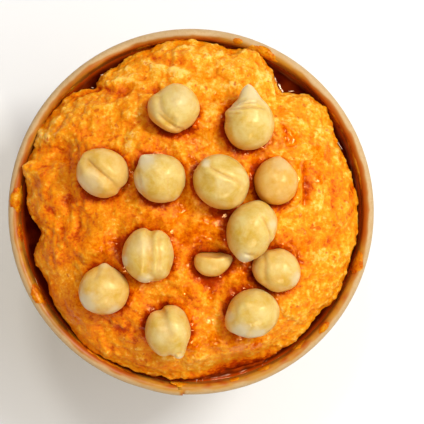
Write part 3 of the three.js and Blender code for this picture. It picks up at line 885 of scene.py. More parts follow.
# The marks on each chickpea, seen from above, from its middle. A dent has its middle, spread and
# depth, below 0 for a swelling. A crease is a furrow along a path, with its width and depth. Where
# the skin is loose it looks whitish: middle, spread, strength. Ripe ones are more orange all over.
CHICKPEA_MARKS = {
    "chickpea_01": {
        "dents": [((-4.4, -0.4), 2.6, 0.5), ((1.2, 0.8), 3.2, -0.25)],
        "creases": [
            (((-3.4, 4.4), (-3.7, 2.6), (-3.4, 0), (-2.1, -2.6), (0.8, -4.6)), 0.9, 0.42),
            (((-4.2, -1.6), (-2.2, -3.6), (0.4, -5.2), (3.0, -5.8)), 0.4, 0.3),
        ],
        "loose": [((-4.6, -0.5), 2.4, 0.25), ((1.6, 2.0), 3.4, 0.35)],
    },
    "chickpea_02": {
        "dents": [((-3.8, 4.6), 1.8, 0.5), ((-6.4, 1.5), 0.9, -0.5), ((-6.2, -0.8), 1.4, 0.5),
                  ((3.6, 5.6), 1.8, 0.35)],
        "creases": [
            (((-5.9, 1.5), (-3.4, 2.0), (0.3, 2.5), (4.0, 2.0)), 0.3, 0.28),
            (((-5.9, 2.2), (-3.4, 3.3), (-0.4, 4.6)), 0.35, 0.3),
            (((-5.9, 1.0), (-4.2, 0.7), (-1.8, 0.9)), 0.25, 0.16),
            (((-5.6, 1.8), (-3.0, 2.8), (0.2, 3.6), (2.6, 3.8)), 0.22, 0.14),
        ],
        "loose": [((0.4, 7.4), 4.6, 0.7), ((-3.6, 3.2), 2.6, 0.6)],
    },
    "chickpea_03": {
        "ripe": 0.14,
        "dents": [((-2.6, -2.0), 3.0, 0.3)],
        "creases": [
            (((-4.4, 4.0), (-3.4, 2.6), (-0.8, 0.4), (1.4, -1.4), (3.6, -3.6), (4.0, -5.0)), 1.0, 0.5),
            (((-3.9, 3.4), (-1.4, 1.0), (0.9, -0.8), (3.3, -2.9)), 0.28, 0.22),
        ],
        "loose": [((-3.8, -3.0), 4.2, 0.6)],
    },
    "chickpea_04": {
        "dents": [((3.4, -2.0), 1.6, 0.12)],
        "creases": [
            (((-5.8, 4.2), (-5.6, 0), (-4.2, -4.4)), 0.5, 0.2),
            (((2.0, 1.0), (2.2, -2.6), (2.4, -5.4)), 0.3, 0.1),
            (((4.0, -5.6), (5.6, -4.4), (6.2, -2.0)), 0.3, 0.25),
        ],
        "loose": [((-3.6, 5.0), 3.2, 0.9), ((-5.2, -1.5), 2.8, 0.6), ((4.8, -6.2), 1.8, 0.7)],
    },
    "chickpea_05": {
        "dents": [((1.6, 3.4), 2.4, 0.22), ((0.4, 0.0), 2.0, -0.15)],
        "creases": [
            (((-3.8, 5.2), (-2.6, 3.6), (0.7, 1.9), (4.4, 0.2), (6.0, -1.6)), 0.6, 0.28),
            (((-3.2, 4.2), (-2.2, 3.3), (0.7, 1.8), (3.4, 0.6)), 0.2, 0.25),
        ],
        "loose": [((-3.8, 4.7), 1.3, 0.9), ((0.8, -0.6), 3.0, 0.2)],
    },
    "chickpea_06": {
        "ripe": 0.32,
        "dents": [],
        "creases": [(((2.9, 3.4), (4.4, 0), (4.6, -2.6)), 0.6, 0.12)],
        "loose": [((1.2, 4.4), 2.4, 0.35)],
    },
    "chickpea_07": {
        "dents": [((4.6, 0.4), 1.8, 0.16)],
        "creases": [
            (((1.6, 4.6), (3.8, 1.8), (4.9, -1.7), (4.4, -4.4)), 0.3, 0.28),
            (((-2.4, -5.6), (-0.6, -6.2), (0.8, -5.8)), 0.35, 0.25),
        ],
        "loose": [((-2.0, -7.3), 2.2, 1.0), ((5.1, 1.6), 1.3, 0.5)],
    },
    "chickpea_08": {
        "dents": [((1.7, 0.4), 1.6, 0.15)],
        "creases": [
            (((0.8, 6.6), (1.0, 1.4), (0.6, -5.6)), 1.0, 0.65),
            (((3.0, 5.8), (3.5, 0.1), (2.6, -5.6)), 0.8, 0.4),
            (((-1.6, 4.2), (-2.0, 0), (-1.4, -4.2)), 0.9, 0.16),
        ],
        "loose": [((-0.6, -7.2), 2.4, 0.9), ((-5.8, -1.4), 1.6, 0.8), ((-1.2, 2.4), 2.8, 0.4)],
    },
    "chickpea_09": {
        "ripe": 0.14,
        "dents": [((-2.4, 4.4), 1.4, 0.12), ((3.2, 4.4), 1.4, 0.12)],
        "creases": [
            (((-1.2, 6.4), (-1.4, 4.4), (-2.6, 2.4)), 0.6, 0.2),
            (((1.6, 6.2), (1.9, 4.2), (3.0, 2.4)), 0.6, 0.18),
        ],
        "loose": [((-4.6, -3.6), 3.6, 0.9), ((0.2, 6.4), 1.5, 0.5), ((2.8, -5.8), 2.4, 0.6)],
    },
    "chickpea_10": {
        "ripe": 0.08,
        "dents": [((-5.0, 1.0), 2.0, 0.25)],
        "creases": [(((-3.7, 5.4), (-3.0, 2.2), (-3.4, -0.6), (-2.3, -4.2)), 0.8, 0.32)],
        "loose": [((5.4, -2.2), 2.0, 0.6)],
    },
    "chickpea_11": {
        "dents": [((-1.3, 5.4), 1.3, 0.5)],
        "creases": [
            (((-1.5, 6.2), (-0.9, 3.4), (0.4, 0.6), (1.2, -1.8)), 1.2, 0.42),
            (((1.4, -6.4), (2.6, -5.4), (4.2, -5.6)), 0.35, 0.25),
        ],
        "loose": [((3.4, -8.0), 2.2, 1.0), ((-1.0, -0.5), 3.4, 0.35)],
    },
    "chickpea_12": {
        "dents": [((-5.6, -0.6), 1.8, 0.3), ((-1.6, 2.8), 0.9, -0.16), ((1.0, 4.2), 0.9, -0.14),
                  ((3.4, -2.4), 1.2, -0.12)],
        "creases": [
            (((-2.0, -4.6), (1.5, -4.8), (3.2, -4.4)), 0.35, 0.1),
            (((-4.6, 3.4), (-4.4, 0.6), (-4.6, -1.4)), 0.6, 0.16),
        ],
        "loose": [((-3.0, -4.6), 2.8, 1.0), ((1.2, -5.6), 2.6, 0.8), ((-6.0, -0.5), 1.6, 0.6)],
    },
    "chickpea_half": {
        "ripe": 0.14,
        "dents": [((0.8, 2.4), 1.8, 0.3)],
        "creases": [],
        "loose": [],
    },
}
SUN = (0.85, 0.53)  # the direction the light comes from, seen from above: chickpeas and the paste beside them are painted less shaded on this side
OIL_REACH = 2.6  # height above the paste up to which the oil stains a chickpea and shade is painted on it
OIL_EDGE = (0.6, 2.2)  # height and size of the lumps that make the stain's edge uneven
OIL_AND_SHADE_TONE, OIL_AND_SHADE_SUN = 0.7, 0.45  # how dark the oil and painted shade beside a chickpea look, and how much less in the light
SIDE_TONE, SIDE_SUN = 0.3, 0.25  # how much the chickpeas' sides are painted deeper yellow than the top, as shade, and how much less in the light
SIDE = (0.95, 0.3)  # how far the skin faces up: from top to side
TOP = (-2.0, 1.0)  # heights from its middle over which the marks on top of a chickpea come in
LIP = 0.3  # height of the swollen skin beside a crease, as a share of the crease's depth
# Creases are painted darker, as shade, the more so the deeper they are for their width.
DARKEST_CREASE = 0.35
CREASE_SLOPE = 2.4  # depth for its width at which a crease's painted shade would be darkest
SKIN = 0.06  # thickness of the loose skin
LOOSE_EDGE = (1.05, 0.95)  # where its edge stands up, as a share of the loose patch's spread
LOOSE_FADE = (1.3, 0.3)  # the same for where it turns whitish
LOOSE_OUTLINE = ((0.25, 1.8), (0.15, 0.7))  # height and size of the lumps in its outline
DIMPLES = ((4.6, 0.2), (2.0, 0.06), (0.9, 0.015))  # size and height of the skin's gentle unevenness


def smooth_chickpea(node, name):
    """The CAD chickpea as a smooth fine skin that fills the same box."""
    rough = copy_of_node(node, name + "_form")
    with editing(rough):
        bpy.ops.mesh.tris_convert_to_quads()
    modify(rough, "SUBSURF", levels=3, render_levels=3)
    low, high = (np.array(corner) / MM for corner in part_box(node))
    form = places(rough)
    share = (form - form.min(axis=0)) / np.ptp(form, axis=0)
    move_points(rough, low + share * (high - low))
    form_surface = surface_of(rough)
    middle = (low + high) / 2
    ball = new_primitive(
        name, bpy.ops.mesh.primitive_ico_sphere_add, subdivisions=CHICKPEA_DETAIL, radius=MM)
    skin = [form_surface.ray_cast(Vector(middle), Vector(towards))[0] for towards in places(ball)]
    move_points(ball, np.array(skin))
    bpy.data.objects.remove(rough)
    return ball, middle


def crease_skin(ball, middle, marks, paste, seed):
    """Presses the creases and dimples into a chickpea and notes where its skin is creased or loose. It
    also notes where the skin is painted deeper: painted shade in the creases and on the sides away from
    the light, and near the paste, where oil stains it and painted shade lies too."""
    points, normals = places(ball), normals_of(ball)
    from_middle = points - middle
    plan = from_middle[:, :2]
    facing = smoothstep(*TOP, from_middle[:, 2])
    depth = np.zeros(len(points))
    creased = np.zeros(len(points))
    for spot, spread, deep in marks["dents"]:
        depth += facing * deep * bell(away_from(plan, spot), spread)
    for path, width, deep in marks["creases"]:
        furrow, lips = stroke(plan, path, width)
        depth += facing * deep * (furrow - LIP * lips)
        dark = min(DARKEST_CREASE, deep / width / CREASE_SLOPE)
        creased = np.maximum(creased, facing * furrow ** 1.5 * dark)
    for size, height in DIMPLES:
        depth += height * lumps(points, size, seed)
    loose = np.zeros(len(points))
    ragged = 1 + uneven(points, [
        (height, size, seed + i) for i, (height, size) in enumerate(LOOSE_OUTLINE, 1)])
    for spot, spread, strength in marks["loose"]:
        away = away_from(plan, spot) / (spread * ragged)
        loose = np.maximum(loose, strength * smoothstep(*LOOSE_FADE, away))
        depth -= SKIN * facing * strength * smoothstep(*LOOSE_EDGE, away)
    # Painted shade: the sides are painted yellower than the top, and orange near the paste, where oil
    # stains them too; most of all away from the light.
    sunny = normals[:, :2] @ SUN
    side = smoothstep(*SIDE, normals[:, 2]) * (SIDE_TONE - SIDE_SUN * sunny)
    above = np.zeros(len(points))
    for i, point in enumerate(points):
        under, out, face, away = paste.find_nearest(Vector(point), OIL_REACH)
        if under is None:
            above[i] = OIL_REACH
        elif (Vector(point) - under).dot(out) > 0:
            above[i] = away
    height, size = OIL_EDGE
    above += height * lumps(points, size, seed + 3)
    # Oil stains the skin near the paste, and shade is painted there too, less on the side in the light.
    stained_and_shaded = smoothstep(OIL_REACH, 0.1, above) * (OIL_AND_SHADE_TONE - OIL_AND_SHADE_SUN * sunny)
    creased = np.maximum(creased, np.maximum(side, stained_and_shaded)) + marks.get("ripe", 0)
    move_points(ball, points - depth[:, None] * normals)
    store(ball, "crease", np.clip(creased, 0, 1))
    store(ball, "loose", loose)


class HUMMUS_OT_chickpeas(bpy.types.Operator):
    """Gives each chickpea its smooth skin, its creases and its loose skin"""
    bl_idname = "hummus.chickpeas"
    bl_label = "Chickpeas"

    def execute(self, context):
        material = boiled_chickpea(context.scene.chickpea_look)
        paste = surface_of(frame["nodes"]["hummus"])
        for seed, (node, marks) in enumerate(CHICKPEA_MARKS.items()):
            ball, middle = smooth_chickpea(node, node.replace("chickpea", "chickpea_skin"))
            crease_skin(ball, middle, marks, paste, seed)
            finish_piece(ball, "chickpea", material, node)
        return {"FINISHED"}


# ---- The dip --------------------------------------------------------------------------------------

CUT_Z = 50.5  # the dip is fine above this height and plain below, where the tub hides it
SMOOTHINGS = 10  # of the steps that the fine part's voxels leave
HIDDEN_Z = (51.6, 53.5)  # heights over which the relief comes in
SUNK_Z = 54.0  # oil covers the dip below this height
SUNKEN, SUNKEN_SPREAD = 287, 17  # compass direction where the heap's edge slopes down into the oil
SUNKEN_DEPTH = 3.4
SUNKEN_FROM = (38.3, 42.2)  # radius over which it goes down
CHICKPEAS_Z = 55.5  # no chickpea reaches down to this height
TOUCH = 0.03  # gap left to a chickpea
NEAR, NEAREST = 0.95, 0.3  # from how far, and up to how near, the dip is drawn up to a chickpea
FAR = 3.0  # farther from a chickpea than this, nothing about it matters
UNDER = 0.25  # closer to a chickpea than this, the dip is hidden under it
WET_ROUND = 1.6  # how far from a chickpea oil gathers and shade is painted on the paste
LEAN_FROM = (38, 42)  # radius over which the heap comes to lean out
RIM_UNDER = (60.5, 58)  # heights, downwards, over which it does, so that it stays clear of the rim
WALL_TOP, WALL_GAP = 58.6, 0.05  # below this height the dip stays this far inside the wall
# Oil has soaked into the heap's edge between these heights, each with how much higher it is where the
# edge slopes down. It looks this dark, and this much darker there.
SOAK_START, SOAK_END, SOAK_TONE = (59, 2), (56.5, 1), (0.3, 0.35)
SOAKED_OILY = 1.4  # how oily the edge is for how dark it looks

# Sizes of what makes up the relief: folds and how they wander, clods, crumbs, grit, streaks and beads.
FOLD, WARP, CLOD, CRUMB, GRIT, STREAK, BEAD = 6, 5, 2.4, 1.5, 0.95, 1.6, 1.1
STREAK_SHAPE = (1, 1 / 5, 1 / 2)  # streaks are drawn out this much along each axis
STREAK_HEIGHT = 0.42
BEAD_HEIGHT = 0.22
OILY_LUMPS = (0.7, 0.9, 4)  # how oily an oily spot is, how much that varies, and over what size
# How much lower the relief is in oily paste, under beads of oil, and where the spoon has smoothed it.
# In oily paste the grit is lower still.
OILY_LOW, BEADED_LOW, SMOOTHED_LOW, GRIT_LOW = 0.55, 0.6, 0.9, 0.8
# Painted shade in the hollows, with the oil that gathers there: how dark paste at the surface's level
# looks, how much darker each millimetre below it, and the share of a fold's height that is left out of
# this.
LEVEL_TONE, DEPTH_TONE, FOLD_TONE = 0.4, 0.65, 0.4

# Where oil has risen and the paste is smooth, seen from above: middle, spread, strength.
OILY = (
    ((2, -1), 17, 0.75), ((1, -29), 9, 0.5), ((-28, -22), 13, 0.5), ((5, 18), 6, 0.6),
    ((29.5, 8), 4, 0.6), ((-15.5, 32), 3, 0.6), ((-33, 14), 5, 0.5), ((-22, -8), 6, 0.6),
    ((-16, -19), 5, 0.6), ((30, -10), 3.5, 0.5), ((12, -14), 7, 0.7), ((20, 18), 4, 0.5),
    ((-17, -10), 4, 0.9), ((8, -0.6), 4, 0.9),
)
# Where more red pepper and oil lie in the paste, with painted shade: the broad spots on the left are
# partly painted shade, and the strong spots beside the chickpeas are painted shadow with oil.
# Middle, spread, strength.
REDDER = (
    ((0, -4), 17, 0.1), ((-36, -2), 15, 0.22), ((-24, -32), 13, 0.2), ((-24, 24), 13, 0.14),
    ((-17.2, -9.8), 3, 1.0), ((8.1, -0.6), 3, 1.0), ((-30.8, 2.8), 1.5, 0.6), ((5.7, -18.3), 2.2, 0.6),
    ((10.6, -20.1), 1.4, 0.5), ((-9, 31.4), 1.6, 0.3), ((35.8, 13.3), 0.8, 0.5), ((24.2, 21), 1.5, 0.15),
    ((-16.5, 32), 2.4, 0.12), ((-12, 14), 3, 0.5), ((0.6, -22.4), 2.2, 0.4), ((30.2, 6.5), 1.6, 0.6),
    ((4, -36), 5, 0.12),
)
# Where the paste is airy and paler: middle, spread, strength.
AIRY = (((5, 38), 14, 0.12), ((-22, 26), 12, 0.08), ((22, 32), 10, 0.08), ((34, 12), 8, 0.08))
# Where beads of oil stand on the paste and glint: middle, spread, strength.
BEADED = (
    ((3, 35.3), 2.6, 0.8), ((8.9, 27.2), 2.2, 1.0), ((6.8, 30), 1.8, 0.9), ((25.7, 19), 2.6, 1.0),
    ((32.9, 15.3), 2.6, 0.8), ((33.2, 8.2), 1.6, 0.8), ((0.3, 13), 1.8, 0.8), ((17, 13), 1.9, 0.9),
    ((3, -7.2), 2.8, 1.0), ((3.7, -2.5), 2.0, 1.0), ((-1.4, 0.4), 1.6, 0.9), ((-1.4, -20.6), 1.8, 0.9),
    ((1.2, -34.8), 1.8, 1.0), ((5, -28.5), 1.4, 0.9), ((6, -32.9), 2.4, 1.0), ((12.4, -33.7), 3.0, 1.0),
    ((17, -34.4), 2.0, 0.9), ((-8, -30), 1.6, 0.6), ((21, -21), 2.0, 0.7), ((11, -10), 1.8, 0.9),
)
# Where the heap leans on the wall below the rim: compass direction, spread, how far it reaches out.
LEANING = (
    (2, 8, 0.4), (66, 14, 0.7), (92, 16, 1.3), (110, 7, 0.7), (139, 9, 0.8), (150, 6, 0.5), (162, 5, 0.6),
    (234, 10, 0.7), (250, 12, 0.9), (268, 12, 0.8), (286, 11, 0.9), (330, 9, 0.9), (36, 5, 0.4),
)
# Where the spoon has dragged the paste into streaks along Y: middle, spread, strength.
STREAKED = (
    ((5, 38), 12, 1.0), ((34, 8), 12, 0.9), ((-33, -4), 10, 0.6), ((-32, 24), 9, 0.4), ((18, 34), 8, 0.8),
)
# Where the back of the spoon has smoothed the paste: middle, spread, strength.
SMOOTHED = (
    ((-23, -5), 7, 0.6), ((-34, -20), 8, 0.6), ((-14, -23), 5, 0.55), ((-27, -33), 6, 0.4),
    ((-3, -3), 7, 0.45), ((7, -37), 6, 0.35), ((-37, 3), 5, 0.4),
)
# Furrows between one spoonful and the next: path, width, depth, and how much oil lies in them.
FURROWS = (
    (((-30, 30.6), (-26, 31.4), (-23, 32.4), (-19.5, 31.0), (-16, 30.2)), 0.9, 0.7, 0),
    (((-19.0, 32.2), (-14.6, 31.4)), 1.3, 0.45, 0),
    (((-13, 30.6), (-9.5, 31.6), (-7.5, 31.0)), 1.1, 0.6, 0.2),
    (((-12, 41), (-7, 39.6), (-2, 38.0), (2, 37.6)), 1.2, 0.5, 0),
    (((29.3, 13), (29.9, 8), (29.6, 1)), 1.1, 0.6, 0.8),
    (((-40, 16), (-35, 17.4), (-31, 14), (-31.5, 10.5)), 1.1, 0.5, 0.1),
    (((-31, 4.5), (-33, 1.5)), 1.1, 0.7, 0.4),
    (((-26.5, 5), (-29.5, -1), (-29, -7)), 0.9, 0.45, 0.1),
    (((-31, 2), (-33.5, -4), (-32, -10)), 0.9, 0.45, 0),
    (((26, -7), (28, -11), (29, -14)), 0.9, 0.6, 0.6),
    (((36.0, 16), (37.2, 8), (37.4, -2), (36.4, -10)), 1.0, 0.35, 0),
    (((41.5, 10), (41.8, 0)), 0.9, 0.3, 0),
    (((-24, -26.5), (-20.5, -29)), 0.9, 0.5, 0.2),
    (((-20.5, -30), (-14, -31)), 0.9, 0.5, 0.1),
    (((3, -16), (6, -20), (5, -24)), 1.3, 0.45, 0.6),
    (((24, 22), (26.5, 17.5)), 0.8, 0.5, 0.5),
)
# Ridges that stand up beside them: path, width, height, and how oily they are.
RIDGES = (
    (((-22, 33.6), (-17.5, 34.4), (-13.2, 33.2), (-11.6, 31.2), (-13.0, 29.4)), 0.8, 0.6, 0),
    (((-13, 38.8), (-8, 37.8), (-3, 36.4), (0.5, 35.8)), 1.1, 0.6, 0),
    (((-38, 22), (-41, 17)), 1.5, 0.7, 0),
    (((28.4, 14), (28.0, 11.5), (28.6, 8.7), (28.6, 5.6), (27.8, 2.8), (25.0, 1.4)), 1.0, 0.38, 1),
    (((28.4, 10.4), (28.6, 7), (28.4, 4.4), (27.2, 2.4), (25.0, 1.4)), 1.0, 0.4, 1),
    (((23.2, 23), (25.2, 20), (26.9, 17.2)), 1.0, 0.36, 1),
    (((4.4, 22.9), (4.6, 20.4), (5.0, 18.2), (6.7, 15.9)), 1.0, 0.36, 1),
    (((5.2, 32.7), (7.7, 30.1)), 1.0, 0.36, 1),
    (((-5.8, -23), (-2.5, -24.6), (0.4, -27.8)), 0.7, 0.25, 1),
    (((8.4, -14.8), (12.2, -12.2)), 0.7, 0.25, 1),
)


def spread_over(points, spots):
    """The strongest of several round spots at each point, seen from above."""
    strongest = np.zeros(len(points))
    for spot, spread, strength in spots:
        strongest = np.maximum(strongest, strength * bell(away_from(points, spot), spread))
    return strongest


def paste_relief(points, look):
    """How far the paste stands out, how dark and red it looks with painted shade in its hollows, and how
    oily.
    """
    warp = np.stack([lumps(points, WARP, seed) for seed in (11, 12, 13)], axis=1)
    # Folds, crumbs and grit are lowered by about their mean, so that the relief goes as far in as out.
    fold = clods(points + warp, FOLD, 20) - 0.45
    clod = lumps(points + 0.6 * warp, CLOD, 21)
    crumb = grains(points + 0.3 * warp, CRUMB, 22) - 0.4
    grit = grains(points, GRIT, 23) - 0.4
    streak = lumps((points + 1.4 * warp) * STREAK_SHAPE, STREAK, 24)
    mean, varying, size = OILY_LUMPS
    oily = spread_over(points, OILY) * (mean + varying * lumps(points, size, 25))
    streaked = spread_over(points, STREAKED)
    plan = points[:, :2] + 0.7 * warp[:, :2]
    cut = np.zeros(len(points))
    for path, width, deep, wet in FURROWS:
        line = stroke(plan, path, width)[0]
        cut += deep * line
        oily = np.maximum(oily, wet * line)
    calm = spread_over(points, SMOOTHED)
    for path, width, high, wet in RIDGES:
        line = stroke(plan, path, width)[0]
        cut -= high * line
        oily = np.maximum(oily, wet * line)
        calm = np.maximum(calm, wet * stroke(plan, path, 2 * width)[0])
    beaded = spread_over(points, BEADED)
    oily = np.clip(np.maximum(oily, beaded), 0, 1)
    rough = (1 - OILY_LOW * oily) * (1 - BEADED_LOW * beaded)
    relief = look.fold_height * fold + rough * (look.clod_height * clod + look.crumb_height * crumb)
    relief += (1 - GRIT_LOW * oily) * look.grit_height * grit
    relief = relief / MM + STREAK_HEIGHT * streaked * rough * streak
    relief = (1 - SMOOTHED_LOW * calm) * relief - cut
    relief += BEAD_HEIGHT * beaded * lumps(points, BEAD, 27)
    # Lower paste is painted darker, as shade in the hollows, and oil gathers there too.
    level = relief - FOLD_TONE * look.fold_height / MM * fold
    redder = spread_over(points, REDDER) - spread_over(points, AIRY)
    hollow = np.clip(LEVEL_TONE - DEPTH_TONE * level + redder, 0, 1)
    return relief, hollow, oily


def leaning(compass):
    """How far the heap leans out towards the wall in a compass direction."""
    reach = np.zeros(np.shape(compass))
    for middle, spread, out in LEANING:
        reach = np.maximum(reach, out * bell(turn_from(compass, middle), spread))
    return reach


def lean_out(points):
    """How far the heap reaches out towards the wall at each point."""
    reach = leaning(compass_of(points)) * smoothstep(*LEAN_FROM, radius_of(points))
    return reach * smoothstep(*RIM_UNDER, points[:, 2]) * (1 + 0.5 * lumps(points, 2.5, 26))


def fit_round_chickpeas(points):
    """Moves the dip's points off the chickpeas, and draws those near them up to them. Returns how
    much room each point had, and how dark the paste is painted there: oil gathers round a chickpea, and
    its painted shade lies there, darkest away from the light."""
    chickpeas = surface_of(*(
        obj for obj in bpy.data.objects if obj.name.startswith("chickpea_skin")))
    room = np.full(len(points), np.inf)
    shaded = np.zeros(len(points))
    for i in np.flatnonzero(points[:, 2] > CHICKPEAS_Z):
        here = Vector(points[i])
        touch, out, face, away = chickpeas.find_nearest(here, FAR)
        if touch is None:
            continue
        room[i] = away if (here - touch).dot(out) > 0 else -away
        # Painted shade: darker on the side of a chickpea away from the light.
        shaded[i] = OIL_AND_SHADE_TONE - OIL_AND_SHADE_SUN * (out.x * SUN[0] + out.y * SUN[1])
        if room[i] < NEAR:
            drawn = (NEAR - TOUCH) * float(smoothstep(NEAREST, NEAR, room[i]))
            points[i] = touch + out * (TOUCH + drawn)
    return room, shaded


class HUMMUS_OT_dip(bpy.types.Operator):
    """Makes the dip's grainy surface, with its folds, furrows and the sockets of the chickpeas"""
    bl_idname = "hummus.dip"
    bl_label = "Hummus"

    def execute(self, context):
        look = context.scene.hummus_look
        dip = copy_of_node("hummus", "hummus_dip")
        base = copy_of_node("hummus", "hummus_base")
        for part, side in ((dip, "clear_inner"), (base, "clear_outer")):
            with editing(part):
                bpy.ops.mesh.bisect(
                    plane_co=(0, 0, CUT_Z * MM), plane_no=(0, 0, 1), use_fill=True, **{side: True})
        modify(dip, "REMESH", mode="VOXEL", voxel_size=look.grain_voxel)
        modify(dip, "SMOOTH", factor=0.5, iterations=SMOOTHINGS)

        points, normals = places(dip), normals_of(dip)
        relief, hollow, oily = paste_relief(points, look)
        shown = smoothstep(*HIDDEN_Z, points[:, 2])
        points += (relief * shown)[:, None] * normals
        radius = radius_of(points)
        sunken = bell(turn_from(compass_of(points), SUNKEN), SUNKEN_SPREAD)
        points[:, 2] -= SUNKEN_DEPTH * sunken * shown * smoothstep(*SUNKEN_FROM, radius)
        points[:, :2] *= (1 + lean_out(points) * shown / radius)[:, None]
        room, shaded = fit_round_chickpeas(points)
        beside = bell(np.maximum(room, 0), WET_ROUND)
        start, end, tone = (
            least + more * sunken for least, more in (SOAK_START, SOAK_END, SOAK_TONE))
        soaked = smoothstep(start, end, points[:, 2]) * tone
        # Beside the chickpeas the paste is oilier, and painted darker as their shade.
        oily = np.maximum(oily, np.maximum(beside, SOAKED_OILY * soaked))
        hollow = np.clip(hollow + shaded * beside + soaked, 0, 1)
        limit = inner_wall(points[:, 2]) - WALL_GAP
        radius = radius_of(points)
        outside = (points[:, 2] < WALL_TOP) & (radius > limit)
        points[outside, :2] *= (limit / radius)[outside, None]
        move_points(dip, points)
        store(dip, "hollow", hollow)
        store(dip, "oily", oily)
        thin_out(dip, (points[:, 2] < SUNK_Z) | (room < UNDER))
        only(dip)
        base.select_set(True)
        bpy.ops.object.join()
        finish_piece(dip, "hummus", red_pepper_hummus(look), "hummus")
        return {"FINISHED"}


# ---- The oil --------------------------------------------------------------------------------------

RING_SIDES = 720
RING_STEPS = 12
LEAST_RING = 0.5  # narrowest width of the ring
OUTSIDE_TUB = 60  # a radius outside the tub
ABOVE_OIL = 0.1  # the dip's edge is measured this far above the oil
CREEP = 0.75  # distance over which the oil's edge levels out
DEEP_OIL = (-0.2, 0.9)  # distances from the ring's edges over which the oil turns black red
SHALLOWER = 0.3  # how much lighter it looks where the dip leans out under it, for each millimetre
REACH_IN = 0.3  # how far the oil reaches into the dip and the card, so that no gap shows


class HUMMUS_OT_oil(bpy.types.Operator):
    """Pours the oil into the gap between the dip and the tub, up to the level of the CAD ring"""
    bl_idname = "hummus.oil"
    bl_label = "Oil"

    def execute(self, context):
        look = context.scene.oil_look
        low, high = (corner.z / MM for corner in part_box("oil"))
        dip = surface_of(bpy.data.objects["hummus_dip"])
        climb = look.meniscus / MM
        points, faces, deep = [], [], []
        ring_points = RING_STEPS + 3
        for side in range(RING_SIDES):
            angle = 2 * math.pi * side / RING_SIDES
            out = Vector((math.cos(angle), math.sin(angle), 0))
            outer = inner_wall(high)
            hit = dip.ray_cast(out * OUTSIDE_TUB + Vector((0, 0, high + ABOVE_OIL)), -out)[0]
            inner = min(math.hypot(hit.x, hit.y), outer - LEAST_RING)
            row = []
            for step in range(RING_STEPS + 1):
                share = 0.5 - 0.5 * math.cos(math.pi * step / RING_STEPS)
                radius = inner - REACH_IN + (outer - inner + 2 * REACH_IN) * share
                rise = climb * (math.exp(-max(0, radius - inner) / CREEP)
                                + math.exp(-max(0, outer - radius) / CREEP))
                row.append(out * radius + Vector((0, 0, high + rise)))
                deep.append(
                    smoothstep(*DEEP_OIL, min(radius - inner, outer - radius))
                    - SHALLOWER * leaning(math.degrees(angle)))
            deep += [1, 1]
            row.append(out * (inner_wall(low) + REACH_IN) + Vector((0, 0, low)))
            row.append(out * (inner - REACH_IN) + Vector((0, 0, low)))
            points.extend(row)
            next_side = (side + 1) % RING_SIDES
            for i in range(ring_points):
                j = (i + 1) % ring_points
                faces.append((
                    side * ring_points + i, side * ring_points + j,
                    next_side * ring_points + j, next_side * ring_points + i))
        ring = mesh_object("oil_ring", points, faces)
        store(ring, "deep", deep)
        finish_piece(ring, "oil", paprika_oil(look), "oil")
        return {"FINISHED"}


# ---- Smears on the rim ---------------------------------------------------------------------------

# Dip wiped on the rim and the wall inside it: compass directions from and to, how far from the top of
# the roll it starts and ends, along the card and inwards, and its thickness.
SMEARS = (
    (60, 70, -0.5, 4.0, 0.3), (8, 24, 1.6, 5.0, 0.15), (73, 76, -0.4, 1.0, 0.2),
    (172, 180, -1.1, 6.0, 0.35), (184, 190, 1.2, 5.0, 0.18), (205, 212, -0.6, 6.0, 0.2),
    (263, 269, 0.8, 4.0, 0.12), (283, 286, 0.8, 3.0, 0.1), (293, 297, 1.0, 4.0, 0.12),
    (306, 311, 1.2, 6.0, 0.25), (317, 321, -0.3, 1.2, 0.16), (339, 347, -0.5, 5.0, 0.22),
    (86, 110, 2.0, 6.0, 0.2), (130, 160, 2.2, 6.0, 0.18), (224, 250, 1.8, 6.0, 0.2),
    (28, 42, 2.0, 5.0, 0.16),
)
SMEAR_STEP = 0.25  # degrees
SMEAR_SECTION = np.arange(-1.8, 6.2, 0.2)  # the same distances from the top of the roll
SMEAR_ROOT = 0.06  # how far a smear reaches into the card
SMEAR_EDGE = ((0.54, 2.6, 41), (0.36, 1.1, 42))  # lumps that make its edge uneven
SMEAR_GRAIN, GRAINY_TO = (0.35, 0.7), 0.3  # its grain's height and size, and how thick a smear it is in


def on_card(angle, along, out):
    """The place of a point on the rolled rim or the wall inside it, in millimetres."""
    look = bpy.context.scene.tub_look
    roll = look.roll / MM / 2
    quarter = roll * math.pi / 2
    if along < quarter:
        tilt = along / roll
        radius = RIM.x / MM - roll - (roll + out) * math.sin(tilt)
        height = RIM.z / MM - roll + (roll + out) * math.cos(tilt)
    else:
        height = RIM.z / MM - roll - (along - quarter)
        radius = inner_wall(height) - out
    return radius * math.cos(angle), radius * math.sin(angle), height


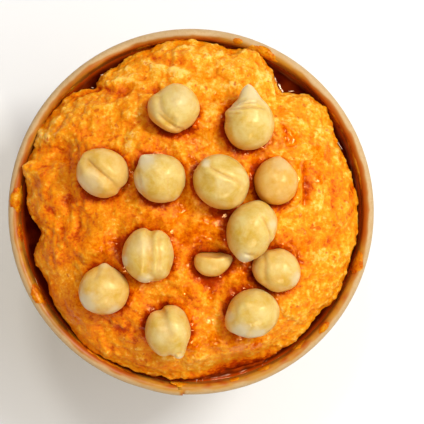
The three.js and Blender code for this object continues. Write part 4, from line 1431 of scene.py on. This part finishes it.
class HUMMUS_OT_smears(bpy.types.Operator):
    """Wipes thin smears of dip on the rim and the wall inside it"""
    bl_idname = "hummus.smears"
    bl_label = "Smears"

    def execute(self, context):
        turns = np.radians(np.arange(0, 360, SMEAR_STEP))
        rows = len(SMEAR_SECTION)
        card = np.array([on_card(a, s, 0) for a in turns for s in SMEAR_SECTION])
        compass = np.repeat(np.degrees(turns), rows)
        along = np.tile(SMEAR_SECTION, len(turns))
        ragged = uneven(card, SMEAR_EDGE)
        thick = np.full(len(card), -1.0)
        for start, end, top, bottom, high in SMEARS:
            aside = np.abs(turn_from(compass, (start + end) / 2)) / ((end - start) / 2)
            depth = np.abs(along - (top + bottom) / 2) / ((bottom - top) / 2)
            inside = 1 - np.hypot(aside, depth) ** 2 + ragged
            thick = np.maximum(thick, high * np.clip(inside, -1, 1))
        height, size = SMEAR_GRAIN
        thick += height * np.clip(thick, 0, GRAINY_TO) * lumps(card, size, 43)
        lifted = np.array([
            on_card(math.radians(a), s, max(t, -SMEAR_ROOT)) for a, s, t in zip(compass, along, thick)])
        faces = []
        for column in range(len(turns)):
            following = (column + 1) % len(turns)
            for row in range(rows - 1):
                corners = [
                    column * rows + row, column * rows + row + 1,
                    following * rows + row + 1, following * rows + row]
                if thick[corners].max() > 0:
                    faces.append(corners)
        smears = mesh_object("rim_smears", lifted, faces)
        with editing(smears):
            bpy.ops.mesh.delete_loose()
            bpy.ops.mesh.normals_make_consistent(inside=False)
        modify(smears, "SOLIDIFY", thickness=SMEAR_ROOT * MM, offset=-1)
        points = places(smears)
        store(smears, "hollow", np.clip(0.6 + 0.4 * lumps(points, 3, 44), 0, 1))
        store(smears, "oily", np.clip(0.3 + 0.5 * lumps(points, 4, 45), 0, 1))
        finish_piece(smears, "hummus", bpy.data.materials["red_pepper_hummus"])
        return {"FINISHED"}


# ---- Running it all -------------------------------------------------------------------------------

OPERATORS = (HUMMUS_OT_stage, HUMMUS_OT_tub, HUMMUS_OT_base, HUMMUS_OT_chickpeas, HUMMUS_OT_dip,
             HUMMUS_OT_oil, HUMMUS_OT_smears)


class HUMMUS_PT_tub(bpy.types.Panel):
    """Lists the pieces, in the order they are made, and their settings"""
    bl_idname = "HUMMUS_PT_tub"
    bl_label = "Tub of hummus"
    bl_space_type = "VIEW_3D"
    bl_region_type = "UI"
    bl_category = "Hummus"

    def draw(self, context):
        for operator in OPERATORS:
            self.layout.operator(operator.bl_idname)
        for name, settings in SETTINGS.items():
            box = self.layout.box()
            for field in settings.__annotations__:
                box.prop(getattr(context.scene, name), field)


CLASSES = (*SETTINGS.values(), *OPERATORS, HUMMUS_PT_tub)


def register():
    for each in CLASSES:
        bpy.utils.register_class(each)
    for name, settings in SETTINGS.items():
        setattr(bpy.types.Scene, name, bpy.props.PointerProperty(type=settings))


def unregister():
    for name in SETTINGS:
        delattr(bpy.types.Scene, name)
    for each in reversed(CLASSES):
        bpy.utils.unregister_class(each)


def main():
    register()
    bpy.ops.hummus.stage()
    bpy.ops.hummus.tub()
    bpy.ops.hummus.base()
    bpy.ops.hummus.chickpeas()
    bpy.ops.hummus.dip()
    bpy.ops.hummus.oil()
    bpy.ops.hummus.smears()


if __name__ == "__main__":
    main()
